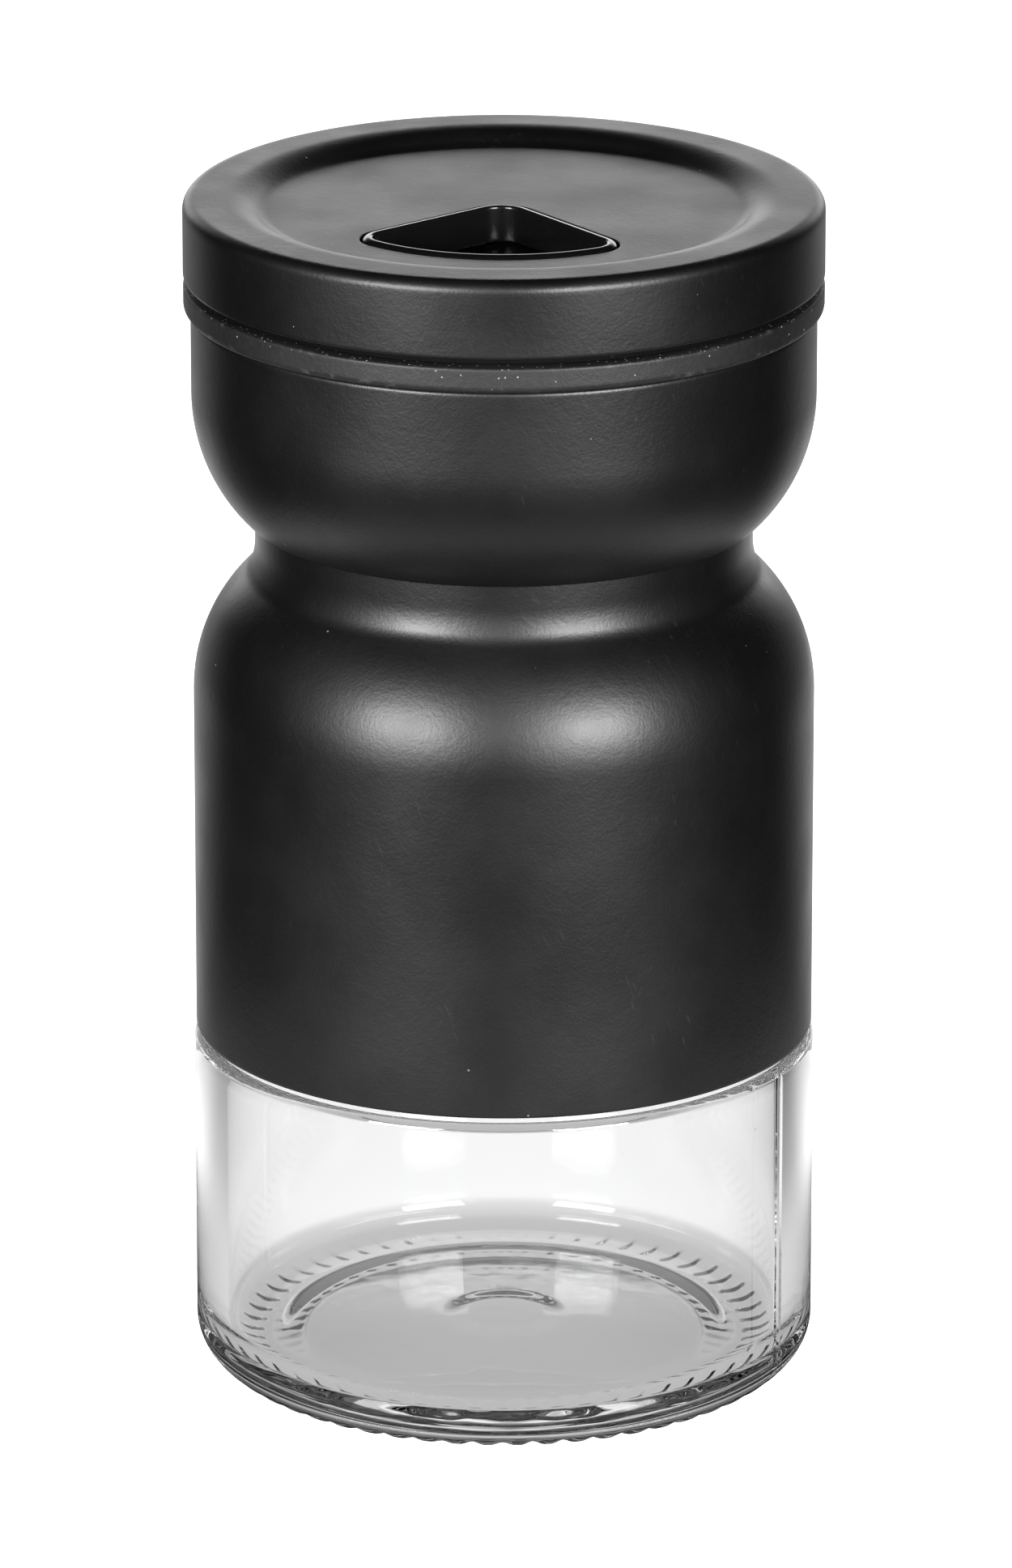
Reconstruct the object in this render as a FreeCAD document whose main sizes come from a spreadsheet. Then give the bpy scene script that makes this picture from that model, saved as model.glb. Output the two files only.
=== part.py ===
import FreeCAD, Part
import math
import operator
import os
import types
import Sketcher

# A spice jar: a glass jar in a steel sleeve, closed by a screw-off lid with a turning sifter dial.
# Millimetres, +Z up, origin in the middle of the base, the dial's window towards -Y.

SIZES = (
    ("body_radius", 25.4, "outside of the sleeve and of the lid's bowl"),
    ("steel_wall", 0.5, "sheet of the sleeve, the bowl and the cover"),
    ("slip_gap", 0.15, "between the glass and the sleeve"),
    ("seat_gap", 0.05, "between pieces pressed into each other"),
    ("running_gap", 0.3, "between pieces that turn past each other"),
    ("overrun", 1.0, "how far a cutting shape stands clear of the piece"),
    ("glass_proud", 0.15, "bare glass band beyond the sleeve"),
    ("glass_wall", 2.6, "wall of the bare glass band"),
    ("heel_round", 3.55, "outside rounding between base and wall"),
    ("base_ring_width", 2.3, "ring that the jar stands on"),
    ("foot_round", 0.8, "inside rounding of that ring"),
    ("push_up", 2.0, "hollow under the base, at its middle"),
    ("dimple_radius", 5.0, "round mark in the middle of the hollow"),
    ("dimple_depth", 0.4, "depth of that mark"),
    ("floor_height", 3.2, "inside floor, at its edge"),
    ("floor_crown", 1.1, "rise of the inside floor to its middle"),
    ("floor_round", 2.6, "rounding between the inside floor and wall"),
    ("knurl_depth", 0.45, "notches across the base ring"),
    ("knurl_land", 0.5, "plain stretch inside the notches"),
    ("ledge_height", 29.0, "ledge that carries the sleeve"),
    ("ledge_round", 0.35, "outer edge of the ledge"),
    ("sleeve_side", 28.9, "straight side of the sleeve"),
    ("shoulder_round", 13.4, "swell of the sleeve's shoulder"),
    ("neck_fillet", 2.95, "hollow between the shoulder and the neck"),
    ("neck_inset", 5.1, "sleeve round the neck, inside the body"),
    ("neck_show", 3.8, "bare neck between the shoulder and the bowl"),
    ("neck_overlap", 2.5, "sleeve's neck inside the bowl"),
    ("neck_wall", 3.45, "glass round the mouth"),
    ("bore_fillet", 4.0, "inside hollow between the shoulder and the bore"),
    ("mouth_round", 0.8, "edges of the mouth"),
    ("lid_clearance", 0.37, "between the neck and the bowl's lower edge"),
    ("bowl_round", 13.2, "swell of the bowl"),
    ("bowl_side", 7.1, "straight side of the bowl"),
    ("flange_overhang", 0.5, "collar's ring beyond the bowl"),
    ("flange_thickness", 2.1, "height of the collar's ring"),
    ("flange_round", 0.6, "lower edge of the collar's ring"),
    ("flange_edge", 0.25, "upper edge of the collar's ring"),
    ("collar_wall", 1.4, "walls of the collar"),
    ("press_depth", 6.2, "collar's outer wall inside the bowl"),
    ("skirt_clearance", 1.5, "between the sleeve's top and the threaded skirt"),
    ("deck_rise", 0.4, "underside of the deck above the ring"),
    ("deck_thickness", 1.4, "deck between the mouth and the sifter"),
    ("bore_margin", 0.2, "collar's opening beyond the jar's bore"),
    ("spigot_wall", 0.6, "wall round the sifter's recess"),
    ("snap_depth", 0.7, "dial's bead below the spigot's lip"),
    ("snap_height", 0.6, "height of the dial's bead"),
    ("snap_lead", 0.3, "sloped edges of the bead and the lip"),
    ("seal_thickness", 1.2, "soft ring on the mouth"),
    ("seal_margin", 0.4, "seal's edges from the bore and the skirt"),
    ("sifter_thickness", 1.2, "sifter plate"),
    ("fine_hole", 0.8, "radius of a fine hole"),
    ("fine_ring", 5.0, "first arc of fine holes"),
    ("fine_pitch", 2.4, "from one arc of fine holes to the next"),
    ("coarse_hole", 1.6, "radius of a coarse hole"),
    ("coarse_ring", 6.0, "first arc of coarse holes"),
    ("coarse_pitch", 3.4, "from one arc of coarse holes to the next"),
    ("dial_gap", 0.2, "between the sifter and the dial"),
    ("insert_wall", 0.8, "outer wall of the dial insert"),
    ("insert_deck", 1.2, "floor of the dial insert"),
    ("rest_ring", 1.2, "ring of the insert that carries the cover"),
    ("rest_margin", 0.4, "that ring from the edge of the dish"),
    ("chute_depth", 2.8, "dish above the underside of the insert"),
    ("lip_wall", 0.9, "wall of the chute"),
    ("lip_proud", 0.22, "chute above the dish"),
    ("lip_round", 0.3, "edges of the chute"),
    ("cover_overhang", 0.6, "cover beyond the bowl"),
    ("cover_gap", 0.7, "between the collar's ring and the cover"),
    ("edge_inset", 0.2, "insert inside the cover's lower edge"),
    ("cover_corner", 1.0, "outer edge of the cover's top"),
    ("rim_width", 4.4, "raised rim of the cover"),
    ("dish_depth", 1.1, "dish below the rim"),
    ("dish_slope", 3.0, "slope between the rim and the dish"),
    ("window_margin", 3.1, "floor of the dish beyond the window"),
    ("window_setback", 2.3, "sharp corner of the window behind the axis"),
    ("window_half_angle", 42.7, "each side of the window from its middle, degrees"),
    ("window_apex", 2.95, "rounding of the window's inner corner"),
    ("window_corner", 2.8, "rounding of the window's outer corners"),
    ("window_gap", 0.15, "between the chute and the cover"),
    ("pour_inset", 1.6, "pouring opening inside the window's outline"),
)

KNURL_COUNT = 58
KNURL_WIDTH_SHARE = 0.72
FINE_COUNTS = (3, 4, 5, 6)
COARSE_COUNTS = (2, 3, 4)
HOLE_HALF_ANGLE = 32.0
FINE_DIRECTION = 0.0
COARSE_DIRECTION = 90.0
POUR_TURN = -90.0
FULL_TURN = 360.0
LEFT = "left"
RIGHT = "right"
EDGE_POINTS = ("edge", "start", "end", "centre")
START_POINT = EDGE_POINTS.index("start")
END_POINT = EDGE_POINTS.index("end")
CENTRE_POINT = EDGE_POINTS.index("centre")
SKETCH_AXES = ("upright", "across")
UPRIGHT_AXIS = SKETCH_AXES.index("upright") - len(SKETCH_AXES)
ACROSS_AXIS = SKETCH_AXES.index("across") - len(SKETCH_AXES)
ORIGIN_POINT = (ACROSS_AXIS, START_POINT)
NORMAL = FreeCAD.Vector(0, 0, 1)
OPERATIONS = {"+": operator.add, "-": operator.sub, "*": operator.mul, "/": operator.truediv}


class Size:
    """A number that keeps the sheet formula it came from."""

    def __init__(self, value, formula):
        self.value = value
        self.formula = formula

    def __add__(self, other):
        return combine(self, "+", other)

    def __sub__(self, other):
        return combine(self, "-", other)

    def __mul__(self, other):
        return combine(self, "*", other)

    def __rmul__(self, other):
        return combine(other, "*", self)

    def __truediv__(self, other):
        return combine(self, "/", other)


def as_size(number):
    return number if isinstance(number, Size) else Size(float(number), repr(float(number)))


def combine(left, sign, right):
    first = as_size(left)
    second = as_size(right)
    value = OPERATIONS[sign](first.value, second.value)
    return Size(value, f"({first.formula} {sign} {second.formula})")


def root(number):
    return Size(math.sqrt(number.value), f"sqrt({number.formula})")


def sine(angle):
    return Size(math.sin(math.radians(angle.value)), f"sin({angle.formula})")


def cosine(angle):
    return Size(math.cos(math.radians(angle.value)), f"cos({angle.formula})")


def opposite(number):
    return Size(-number.value, f"-({number.formula})")


def sag_radius(half_width, rise):
    """Radius of a shallow arc from its half width and its rise."""
    return (half_width * half_width + rise * rise) / (2 * rise)


def place(constraints, formulas, geometry, corner, x, y):
    """Fixes one point of a sketch at two formulas, or on an axis where a formula is zero."""
    rules = ((UPRIGHT_AXIS, "DistanceX", as_size(x)), (ACROSS_AXIS, "DistanceY", as_size(y)))
    for axis, kind, number in rules:
        if number.value == 0:
            constraints.append(Sketcher.Constraint("PointOnObject", geometry, corner, axis))
            continue
        if number.value < 0:
            ends = (geometry, corner, *ORIGIN_POINT)
            number = opposite(number)
        else:
            ends = (*ORIGIN_POINT, geometry, corner)
        formulas[len(constraints)] = number.formula
        constraints.append(Sketcher.Constraint(kind, *ends, number.value))


def constrain(sketch, constraints, formulas):
    first = sketch.ConstraintCount
    sketch.addConstraint(constraints)
    for index, formula in formulas.items():
        sketch.setExpression(f"Constraints[{first + index}]", formula)


class Outline:
    """A closed outline of lines and arcs, drawn from corner to corner."""

    def __init__(self, x, y):
        self.corners = [(x, y)]
        self.sides = []

    def line(self, *corners):
        for corner in corners:
            self.corners.append(corner)
            self.sides.append(None)
        return self

    def arc(self, x, y, radius, turn):
        self.corners.append((x, y))
        self.sides.append((radius, turn))
        return self

    def close(self):
        self.sides.append(None)
        return self

    def draw(self, sketch):
        geometry = []
        constraints = []
        formulas = {}
        starts = []
        finishes = []
        spots = [FreeCAD.Vector(as_size(x).value, as_size(y).value, 0) for x, y in self.corners]
        for index, side in enumerate(self.sides):
            start = spots[index]
            finish = spots[(index + 1) % len(spots)]
            if side is None:
                geometry.append(Part.LineSegment(start, finish))
            else:
                geometry.append(arc_between(start, finish, side[0].value, side[1]))
            forward = side is None or side[1] == LEFT
            starts.append(START_POINT if forward else END_POINT)
            finishes.append(END_POINT if forward else START_POINT)
        sketch.addGeometry(geometry)
        for index, side in enumerate(self.sides):
            after = (index + 1) % len(self.sides)
            joint = (index, finishes[index], after, starts[after])
            constraints.append(Sketcher.Constraint("Coincident", *joint))
            place(constraints, formulas, index, starts[index], *self.corners[index])
            if side is not None:
                formulas[len(constraints)] = side[0].formula
                constraints.append(Sketcher.Constraint("Radius", index, side[0].value))
        constrain(sketch, constraints, formulas)


def arc_between(start, finish, radius, turn):
    """The shorter arc between two points that turns to the left or to the right."""
    chord = finish - start
    half = chord.Length / 2
    leftward = FreeCAD.Vector(-chord.y, chord.x, 0).normalize()
    inward = leftward if turn == LEFT else -leftward
    centre = (start + finish) / 2 + inward * math.sqrt(max(radius * radius - half * half, 0))
    circle = Part.Circle(centre, NORMAL, radius)
    first, last = (start, finish) if turn == LEFT else (finish, start)
    return Part.ArcOfCircle(circle, circle.parameter(first), circle.parameter(last))


doc = FreeCAD.newDocument("SpiceJar")
sheet = doc.addObject("Spreadsheet::Sheet", "Sizes")
s = types.SimpleNamespace()
for row, (name, value, meaning) in enumerate(SIZES, start=1):
    sheet.set(f"A{row}", name)
    sheet.set(f"B{row}", str(value))
    sheet.set(f"C{row}", meaning)
    sheet.setAlias(f"B{row}", name)
    setattr(s, name, Size(value, f"Sizes.{name}"))
doc.recompute()


def origin_feature(body, role):
    return next(feature for feature in body.Origin.OriginFeatures if feature.Role == role)


def new_sketch(body, name, plane, height=None, turn=0.0):
    """A sketch on one of the body's own planes, raised along the plane's normal."""
    sketch = body.newObject("Sketcher::SketchObject", name)
    sketch.AttachmentSupport = [(origin_feature(body, plane), "")]
    sketch.MapMode = "FlatFace"
    if height is not None:
        spot = FreeCAD.Vector(0, 0, height.value)
        sketch.AttachmentOffset = FreeCAD.Placement(spot, FreeCAD.Rotation(NORMAL, turn))
        sketch.setExpression("AttachmentOffset.Base.z", height.formula)
    return sketch


def turned_body(name, outline):
    """A piece turned about the jar's axis from half of its section."""
    body = doc.addObject("PartDesign::Body", name)
    body.Label = name
    sketch = new_sketch(body, f"{name}_section", "XZ_Plane")
    outline.draw(sketch)
    feature = body.newObject("PartDesign::Revolution", f"{name}_turned")
    feature.Profile = sketch
    feature.ReferenceAxis = (sketch, ["V_Axis"])
    feature.Angle = FULL_TURN
    doc.recompute()
    return body


def pad(body, sketch, height):
    feature = body.newObject("PartDesign::Pad", f"{sketch.Name}_pad")
    feature.Profile = sketch
    feature.Type = "Length"
    feature.setExpression("Length", height.formula)
    doc.recompute()
    return feature


def pocket(body, sketch, depth):
    before = body.Shape.Volume
    feature = body.newObject("PartDesign::Pocket", f"{sketch.Name}_cut")
    feature.Profile = sketch
    feature.Type = "Length"
    feature.setExpression("Length", depth.formula)
    doc.recompute()
    if body.Shape.Volume >= before:
        raise RuntimeError(f"{feature.Name} cuts nothing")
    return feature


def shoulder(centre_radius, centre_height, swell, neck, fillet):
    """Where a swelling shoulder turns into its hollow, and where the hollow reaches the neck."""
    reach = neck + fillet - centre_radius
    span = swell + fillet
    rise = root(span * span - reach * reach)
    turning = (centre_radius + reach * swell / span, centre_height + rise * swell / span)
    return turning, centre_height + rise


# Radii of the jar, the sleeve and the bowl
glass_radius = s.body_radius + s.glass_proud
glass_inner = glass_radius - s.glass_wall
sleeve_inner = s.body_radius - s.steel_wall
glass_waist = sleeve_inner - s.slip_gap
neck_radius = s.body_radius - s.neck_inset
glass_neck = neck_radius - s.steel_wall - s.slip_gap
bore = glass_neck - s.neck_wall
bowl_inner = s.body_radius - s.steel_wall

# Heights from the base to the top of the bowl
shoulder_height = s.ledge_height + s.sleeve_side
shoulder_centre = s.body_radius - s.shoulder_round
sleeve_turning, neck_height = shoulder(
    shoulder_centre, shoulder_height, s.shoulder_round, neck_radius, s.neck_fillet)
bowl_centre = s.body_radius - s.bowl_round
bowl_inner_round = s.bowl_round - s.steel_wall
bowl_edge_inner = neck_radius + s.lid_clearance
bowl_edge_outer = bowl_centre + (bowl_edge_inner - bowl_centre) * s.bowl_round / bowl_inner_round
bowl_edge_reach = bowl_edge_outer - bowl_centre
bowl_edge_height = neck_height + s.neck_show
bowl_drop = root(s.bowl_round * s.bowl_round - bowl_edge_reach * bowl_edge_reach)
bowl_side_height = bowl_edge_height + bowl_drop
bowl_top = bowl_side_height + s.bowl_side
sleeve_top = bowl_edge_height + s.neck_overlap

# Heights inside the lid
flange_top = bowl_top + s.flange_thickness
deck_under = flange_top + s.deck_rise
mouth_height = deck_under - s.seal_thickness
deck_top = deck_under + s.deck_thickness
sifter_top = deck_top + s.sifter_thickness
insert_under = sifter_top + s.dial_gap
insert_top = insert_under + s.insert_deck
dish_height = insert_under + s.chute_depth
dish_under = dish_height - s.steel_wall
lip_top = dish_height + s.lip_proud
cover_top = dish_height + s.dish_depth
cover_edge = flange_top + s.cover_gap
insert_bottom = cover_edge + s.edge_inset
bead_top = insert_bottom + s.snap_height
spigot_lip_under = bead_top + s.running_gap

# Radii inside the lid, from the cover inwards
cover_radius = s.body_radius + s.cover_overhang
cover_inner = cover_radius - s.steel_wall
dish_edge = cover_radius - s.rim_width
dish_radius = dish_edge - s.dish_slope
window_radius = dish_radius - s.window_margin
insert_outer = cover_inner - s.seat_gap
insert_inner = insert_outer - s.insert_wall
bead_radius = insert_inner - s.snap_depth
spigot_lip = insert_inner - s.running_gap
spigot_radius = bead_radius - s.running_gap
recess_radius = spigot_radius - s.spigot_wall
collar_outer = bowl_inner - s.seat_gap
collar_inner = collar_outer - s.collar_wall
skirt_inner = glass_neck + s.running_gap
skirt_outer = skirt_inner + s.collar_wall


def glass_jar():
    ring_outer = glass_radius - s.heel_round
    ring_inner = ring_outer - s.base_ring_width
    hollow_edge = ring_inner - s.foot_round
    hollow_rise = s.push_up - s.foot_round
    floor_edge = glass_inner - s.floor_round
    outer_swell = glass_waist - shoulder_centre
    outer_fillet = s.neck_fillet + s.steel_wall + s.slip_gap
    outer_turning, outer_neck = shoulder(
        shoulder_centre, shoulder_height, outer_swell, glass_neck, outer_fillet)
    inner_swell = glass_inner - shoulder_centre
    inner_turning, inner_neck = shoulder(
        shoulder_centre, shoulder_height, inner_swell, bore, s.bore_fillet)

    section = Outline(0, s.push_up + s.dimple_depth)
    section.line((s.dimple_radius - s.dimple_depth, s.push_up + s.dimple_depth))
    section.line((s.dimple_radius, s.push_up))
    section.arc(hollow_edge, s.foot_round, sag_radius(hollow_edge, hollow_rise), RIGHT)
    section.arc(ring_inner, 0, s.foot_round, LEFT)
    section.line((ring_outer, 0))
    section.arc(glass_radius, s.heel_round, s.heel_round, LEFT)
    section.line((glass_radius, s.ledge_height - s.ledge_round))
    section.arc(glass_radius - s.ledge_round, s.ledge_height, s.ledge_round, LEFT)
    section.line((glass_waist, s.ledge_height), (glass_waist, shoulder_height))
    section.arc(*outer_turning, outer_swell, LEFT)
    section.arc(glass_neck, outer_neck, outer_fillet, RIGHT)
    section.line((glass_neck, mouth_height - s.mouth_round))
    section.arc(glass_neck - s.mouth_round, mouth_height, s.mouth_round, LEFT)
    section.line((bore + s.mouth_round, mouth_height))
    section.arc(bore, mouth_height - s.mouth_round, s.mouth_round, LEFT)
    section.line((bore, inner_neck))
    section.arc(*inner_turning, s.bore_fillet, LEFT)
    section.arc(glass_inner, shoulder_height, inner_swell, RIGHT)
    section.line((glass_inner, s.floor_height + s.floor_round))
    section.arc(floor_edge, s.floor_height, s.floor_round, RIGHT)
    section.arc(0, s.floor_height + s.floor_crown, sag_radius(floor_edge, s.floor_crown), LEFT)
    body = turned_body("glass_jar", section.close())

    # Notches across the base ring, from a plain inner stretch out through the heel
    half_notch = ring_outer * (math.pi * KNURL_WIDTH_SHARE / KNURL_COUNT)
    notch = Outline(opposite(half_notch), opposite(s.overrun))
    notch.line((half_notch, opposite(s.overrun)), (half_notch, 0))
    notch.line((0, s.knurl_depth), (opposite(half_notch), 0))
    sketch = new_sketch(body, "knurl", "YZ_Plane", opposite(ring_inner + s.knurl_land))
    notch.close().draw(sketch)
    cut = pocket(body, sketch, s.heel_round + s.base_ring_width)
    pattern = body.newObject("PartDesign::PolarPattern", "knurls")
    pattern.Originals = [cut]
    pattern.Axis = (origin_feature(body, "Z_Axis"), [""])
    pattern.Angle = FULL_TURN
    pattern.Occurrences = KNURL_COUNT
    body.Tip = pattern
    doc.recompute()
    return body


def body_sleeve():
    inner_swell = s.shoulder_round - s.steel_wall
    inner_fillet = s.neck_fillet + s.steel_wall
    inner_neck = neck_radius - s.steel_wall
    inner_turning, _ = shoulder(
        shoulder_centre, shoulder_height, inner_swell, inner_neck, inner_fillet)
    section = Outline(sleeve_inner, s.ledge_height)
    section.line((s.body_radius, s.ledge_height), (s.body_radius, shoulder_height))
    section.arc(*sleeve_turning, s.shoulder_round, LEFT)
    section.arc(neck_radius, neck_height, s.neck_fillet, RIGHT)
    section.line((neck_radius, sleeve_top), (inner_neck, sleeve_top), (inner_neck, neck_height))
    section.arc(*inner_turning, inner_fillet, LEFT)
    section.arc(sleeve_inner, shoulder_height, inner_swell, RIGHT)
    return turned_body("body_sleeve", section.close())


def lid_bowl():
    inner_edge_height = bowl_side_height - bowl_drop * bowl_inner_round / s.bowl_round
    section = Outline(bowl_edge_outer, bowl_edge_height)
    section.arc(s.body_radius, bowl_side_height, s.bowl_round, LEFT)
    section.line((s.body_radius, bowl_top), (bowl_inner, bowl_top), (bowl_inner, bowl_side_height))
    section.arc(bowl_edge_inner, inner_edge_height, bowl_inner_round, RIGHT)
    return turned_body("lid_bowl", section.close())


def screw_collar():
    flange_radius = s.body_radius + s.flange_overhang
    skirt_bottom = sleeve_top + s.skirt_clearance
    web_under = flange_top - s.collar_wall
    press_bottom = bowl_top - s.press_depth
    opening = bore + s.bore_margin
    section = Outline(skirt_inner, skirt_bottom)
    section.line((skirt_outer, skirt_bottom), (skirt_outer, web_under), (collar_inner, web_under))
    section.line((collar_inner, press_bottom), (collar_outer, press_bottom), (collar_outer, bowl_top))
    section.line((flange_radius - s.flange_round, bowl_top))
    section.arc(flange_radius, bowl_top + s.flange_round, s.flange_round, LEFT)
    section.line((flange_radius, flange_top - s.flange_edge))
    section.arc(flange_radius - s.flange_edge, flange_top, s.flange_edge, LEFT)
    section.line((spigot_radius, flange_top), (spigot_radius, spigot_lip_under))
    section.line((spigot_lip, spigot_lip_under), (spigot_lip, sifter_top - s.snap_lead))
    section.line((spigot_lip - s.snap_lead, sifter_top), (recess_radius, sifter_top))
    section.line((recess_radius, deck_top), (opening, deck_top), (opening, deck_under))
    section.line((skirt_inner, deck_under))
    return turned_body("screw_collar", section.close())


def jar_seal():
    seal_inner = bore + s.seal_margin
    seal_outer = skirt_inner - s.seal_margin
    section = Outline(seal_inner, mouth_height)
    section.line((seal_outer, mouth_height), (seal_outer, deck_under), (seal_inner, deck_under))
    return turned_body("jar_seal", section.close())


def sector_outline(inset):
    """The window's rounded sector towards -Y, drawn a little way inside the cover's opening."""
    side = sine(s.window_half_angle)
    ahead = cosine(s.window_half_angle)
    rim = window_radius - inset
    corner = s.window_corner - inset
    apex = s.window_apex - inset
    behind = s.window_setback - inset / side
    apex_run = apex * ahead / side
    offset = corner - behind * side
    run = behind * ahead + root((rim - corner) * (rim - corner) - offset * offset)
    centre_x = run * side - corner * ahead
    centre_y = behind - run * ahead - corner * side
    reach = rim / (rim - corner)
    apex_x = apex_run * side
    apex_y = behind - apex_run * ahead
    side_x = run * side
    side_y = behind - run * ahead
    outline = Outline(apex_x, apex_y)
    outline.arc(opposite(apex_x), apex_y, apex, LEFT)
    outline.line((opposite(side_x), side_y))
    outline.arc(opposite(centre_x * reach), centre_y * reach, corner, LEFT)
    outline.arc(centre_x * reach, centre_y * reach, rim, LEFT)
    outline.arc(side_x, side_y, corner, LEFT)
    return outline.close()


def hole_sketch(body, name, direction, counts, first_ring, pitch, radius):
    """Round holes on arcs about the axis, spread over one quarter of the plate."""
    sketch = new_sketch(body, name, "XY_Plane", sifter_top + s.overrun)
    constraints = []
    formulas = {}
    for arc_number, count in enumerate(counts):
        ring = first_ring + pitch * arc_number
        for place_number in range(count):
            spread = HOLE_HALF_ANGLE * (2 * place_number / (count - 1) - 1)
            angle = as_size(direction + spread)
            x = ring * cosine(angle)
            y = ring * sine(angle)
            spot = FreeCAD.Vector(x.value, y.value, 0)
            hole = sketch.addGeometry(Part.Circle(spot, NORMAL, radius.value))
            place(constraints, formulas, hole, CENTRE_POINT, x, y)
            formulas[len(constraints)] = radius.formula
            constraints.append(Sketcher.Constraint("Radius", hole, radius.value))
    constrain(sketch, constraints, formulas)
    return sketch


def sifter_plate():
    sifter_radius = recess_radius - s.seat_gap
    section = Outline(0, deck_top)
    section.line((sifter_radius, deck_top), (sifter_radius, sifter_top), (0, sifter_top))
    body = turned_body("sifter_plate", section.close())
    through = s.sifter_thickness + 2 * s.overrun
    fine = (FINE_COUNTS, s.fine_ring, s.fine_pitch, s.fine_hole)
    coarse = (COARSE_COUNTS, s.coarse_ring, s.coarse_pitch, s.coarse_hole)
    pocket(body, hole_sketch(body, "fine_holes", FINE_DIRECTION, *fine), through)
    pocket(body, hole_sketch(body, "coarse_holes", COARSE_DIRECTION, *coarse), through)
    pour = new_sketch(body, "pour_opening", "XY_Plane", sifter_top + s.overrun, POUR_TURN)
    sector_outline(s.pour_inset).draw(pour)
    pocket(body, pour, through)
    return body


def dial_insert():
    wall_top = cover_top - s.cover_corner
    rest_outer = dish_radius - s.rest_margin
    rest_inner = rest_outer - s.rest_ring
    section = Outline(0, insert_under)
    section.line((insert_inner, insert_under), (insert_inner, bead_top), (bead_radius, bead_top))
    section.line((bead_radius, insert_bottom + s.snap_lead))
    section.line((bead_radius + s.snap_lead, insert_bottom), (insert_outer, insert_bottom))
    section.line((insert_outer, wall_top), (insert_inner, wall_top), (insert_inner, insert_top))
    section.line((rest_outer, insert_top), (rest_outer, dish_under))
    section.line((rest_inner, dish_under), (rest_inner, insert_top), (0, insert_top))
    body = turned_body("dial_insert", section.close())

    boss = new_sketch(body, "chute_wall", "XY_Plane", insert_under)
    sector_outline(s.window_gap).draw(boss)
    pad(body, boss, lip_top - insert_under)
    opening = new_sketch(body, "chute_opening", "XY_Plane", lip_top + s.overrun)
    sector_outline(s.window_gap + s.lip_wall).draw(opening)
    pocket(body, opening, lip_top - insert_under + 2 * s.overrun)

    # Both upper edges of the chute are rounded
    base = body.Tip
    edges = []
    for number, edge in enumerate(base.Shape.Edges, start=1):
        heights = [vertex.Z for vertex in edge.Vertexes]
        if min(heights) > (dish_height.value + lip_top.value) / 2:
            edges.append(f"Edge{number}")
    rounding = body.newObject("PartDesign::Fillet", "chute_lip")
    rounding.Base = (base, edges)
    rounding.setExpression("Radius", s.lip_round.formula)
    doc.recompute()
    return body


def dial_cover():
    square = s.dish_slope * s.dish_slope + s.dish_depth * s.dish_depth
    bend = square / (4 * s.dish_depth)
    slope_sine = 2 * s.dish_depth * s.dish_slope / square
    slope_cosine = (s.dish_slope * s.dish_slope - s.dish_depth * s.dish_depth) / square
    middle = (dish_edge - s.dish_slope / 2, cover_top - s.dish_depth / 2)
    middle_under = (middle[0] + s.steel_wall * slope_sine, middle[1] - s.steel_wall * slope_cosine)
    corner_radius = cover_radius - s.cover_corner
    top_under = cover_top - s.steel_wall
    section = Outline(cover_inner, cover_edge)
    section.line((cover_radius, cover_edge), (cover_radius, cover_top - s.cover_corner))
    section.arc(corner_radius, cover_top, s.cover_corner, LEFT)
    section.line((dish_edge, cover_top))
    section.arc(*middle, bend, LEFT)
    section.arc(dish_radius, dish_height, bend, RIGHT)
    section.line((0, dish_height), (0, dish_under), (dish_radius, dish_under))
    section.arc(*middle_under, bend + s.steel_wall, LEFT)
    section.arc(dish_edge, top_under, bend - s.steel_wall, RIGHT)
    section.line((corner_radius, top_under))
    section.arc(cover_inner, cover_top - s.cover_corner, s.cover_corner - s.steel_wall, RIGHT)
    body = turned_body("dial_cover", section.close())
    window = new_sketch(body, "window", "XY_Plane", dish_height + s.overrun)
    sector_outline(as_size(0)).draw(window)
    pocket(body, window, s.steel_wall + 2 * s.overrun)
    return body


pieces = [
    glass_jar(),
    body_sleeve(),
    lid_bowl(),
    screw_collar(),
    jar_seal(),
    sifter_plate(),
    dial_insert(),
    dial_cover(),
]
doc.recompute()

for item in doc.Objects:
    if "Invalid" in item.State or "Error" in item.State:
        raise RuntimeError(f"{item.Name} did not build: {item.State}")
for piece in pieces:
    if piece.Shape.isNull() or not piece.Shape.isValid() or len(piece.Shape.Solids) != 1:
        raise RuntimeError(f"{piece.Label} is not one valid solid")

os.makedirs("parts", exist_ok=True)
for piece in pieces:
    piece.Shape.exportStep(f"parts/{piece.Label}.step")
    box = piece.Shape.BoundBox
    print(f"{piece.Label}: {piece.Shape.Volume:.1f} mm3, z {box.ZMin:.2f} to {box.ZMax:.2f}, "
          f"across {box.XLength:.2f}")
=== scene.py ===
# %% [markdown]
# # A spice jar with a sifter dial
# A clear glass jar stands in a black steel sleeve. The lid is a steel bowl pressed over a plastic
# screw collar, and the dial on top turns a window over a sifter plate. This lesson builds each piece
# the way its maker thinks of it: turned shapes from half a section, moulded shapes from a stack of
# loops, and what repeats from a Geometry Nodes tree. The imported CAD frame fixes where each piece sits.

# %% Load the frame
import math
import bmesh
import bpy
import numpy as np
from mathutils import Matrix, Vector


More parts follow.
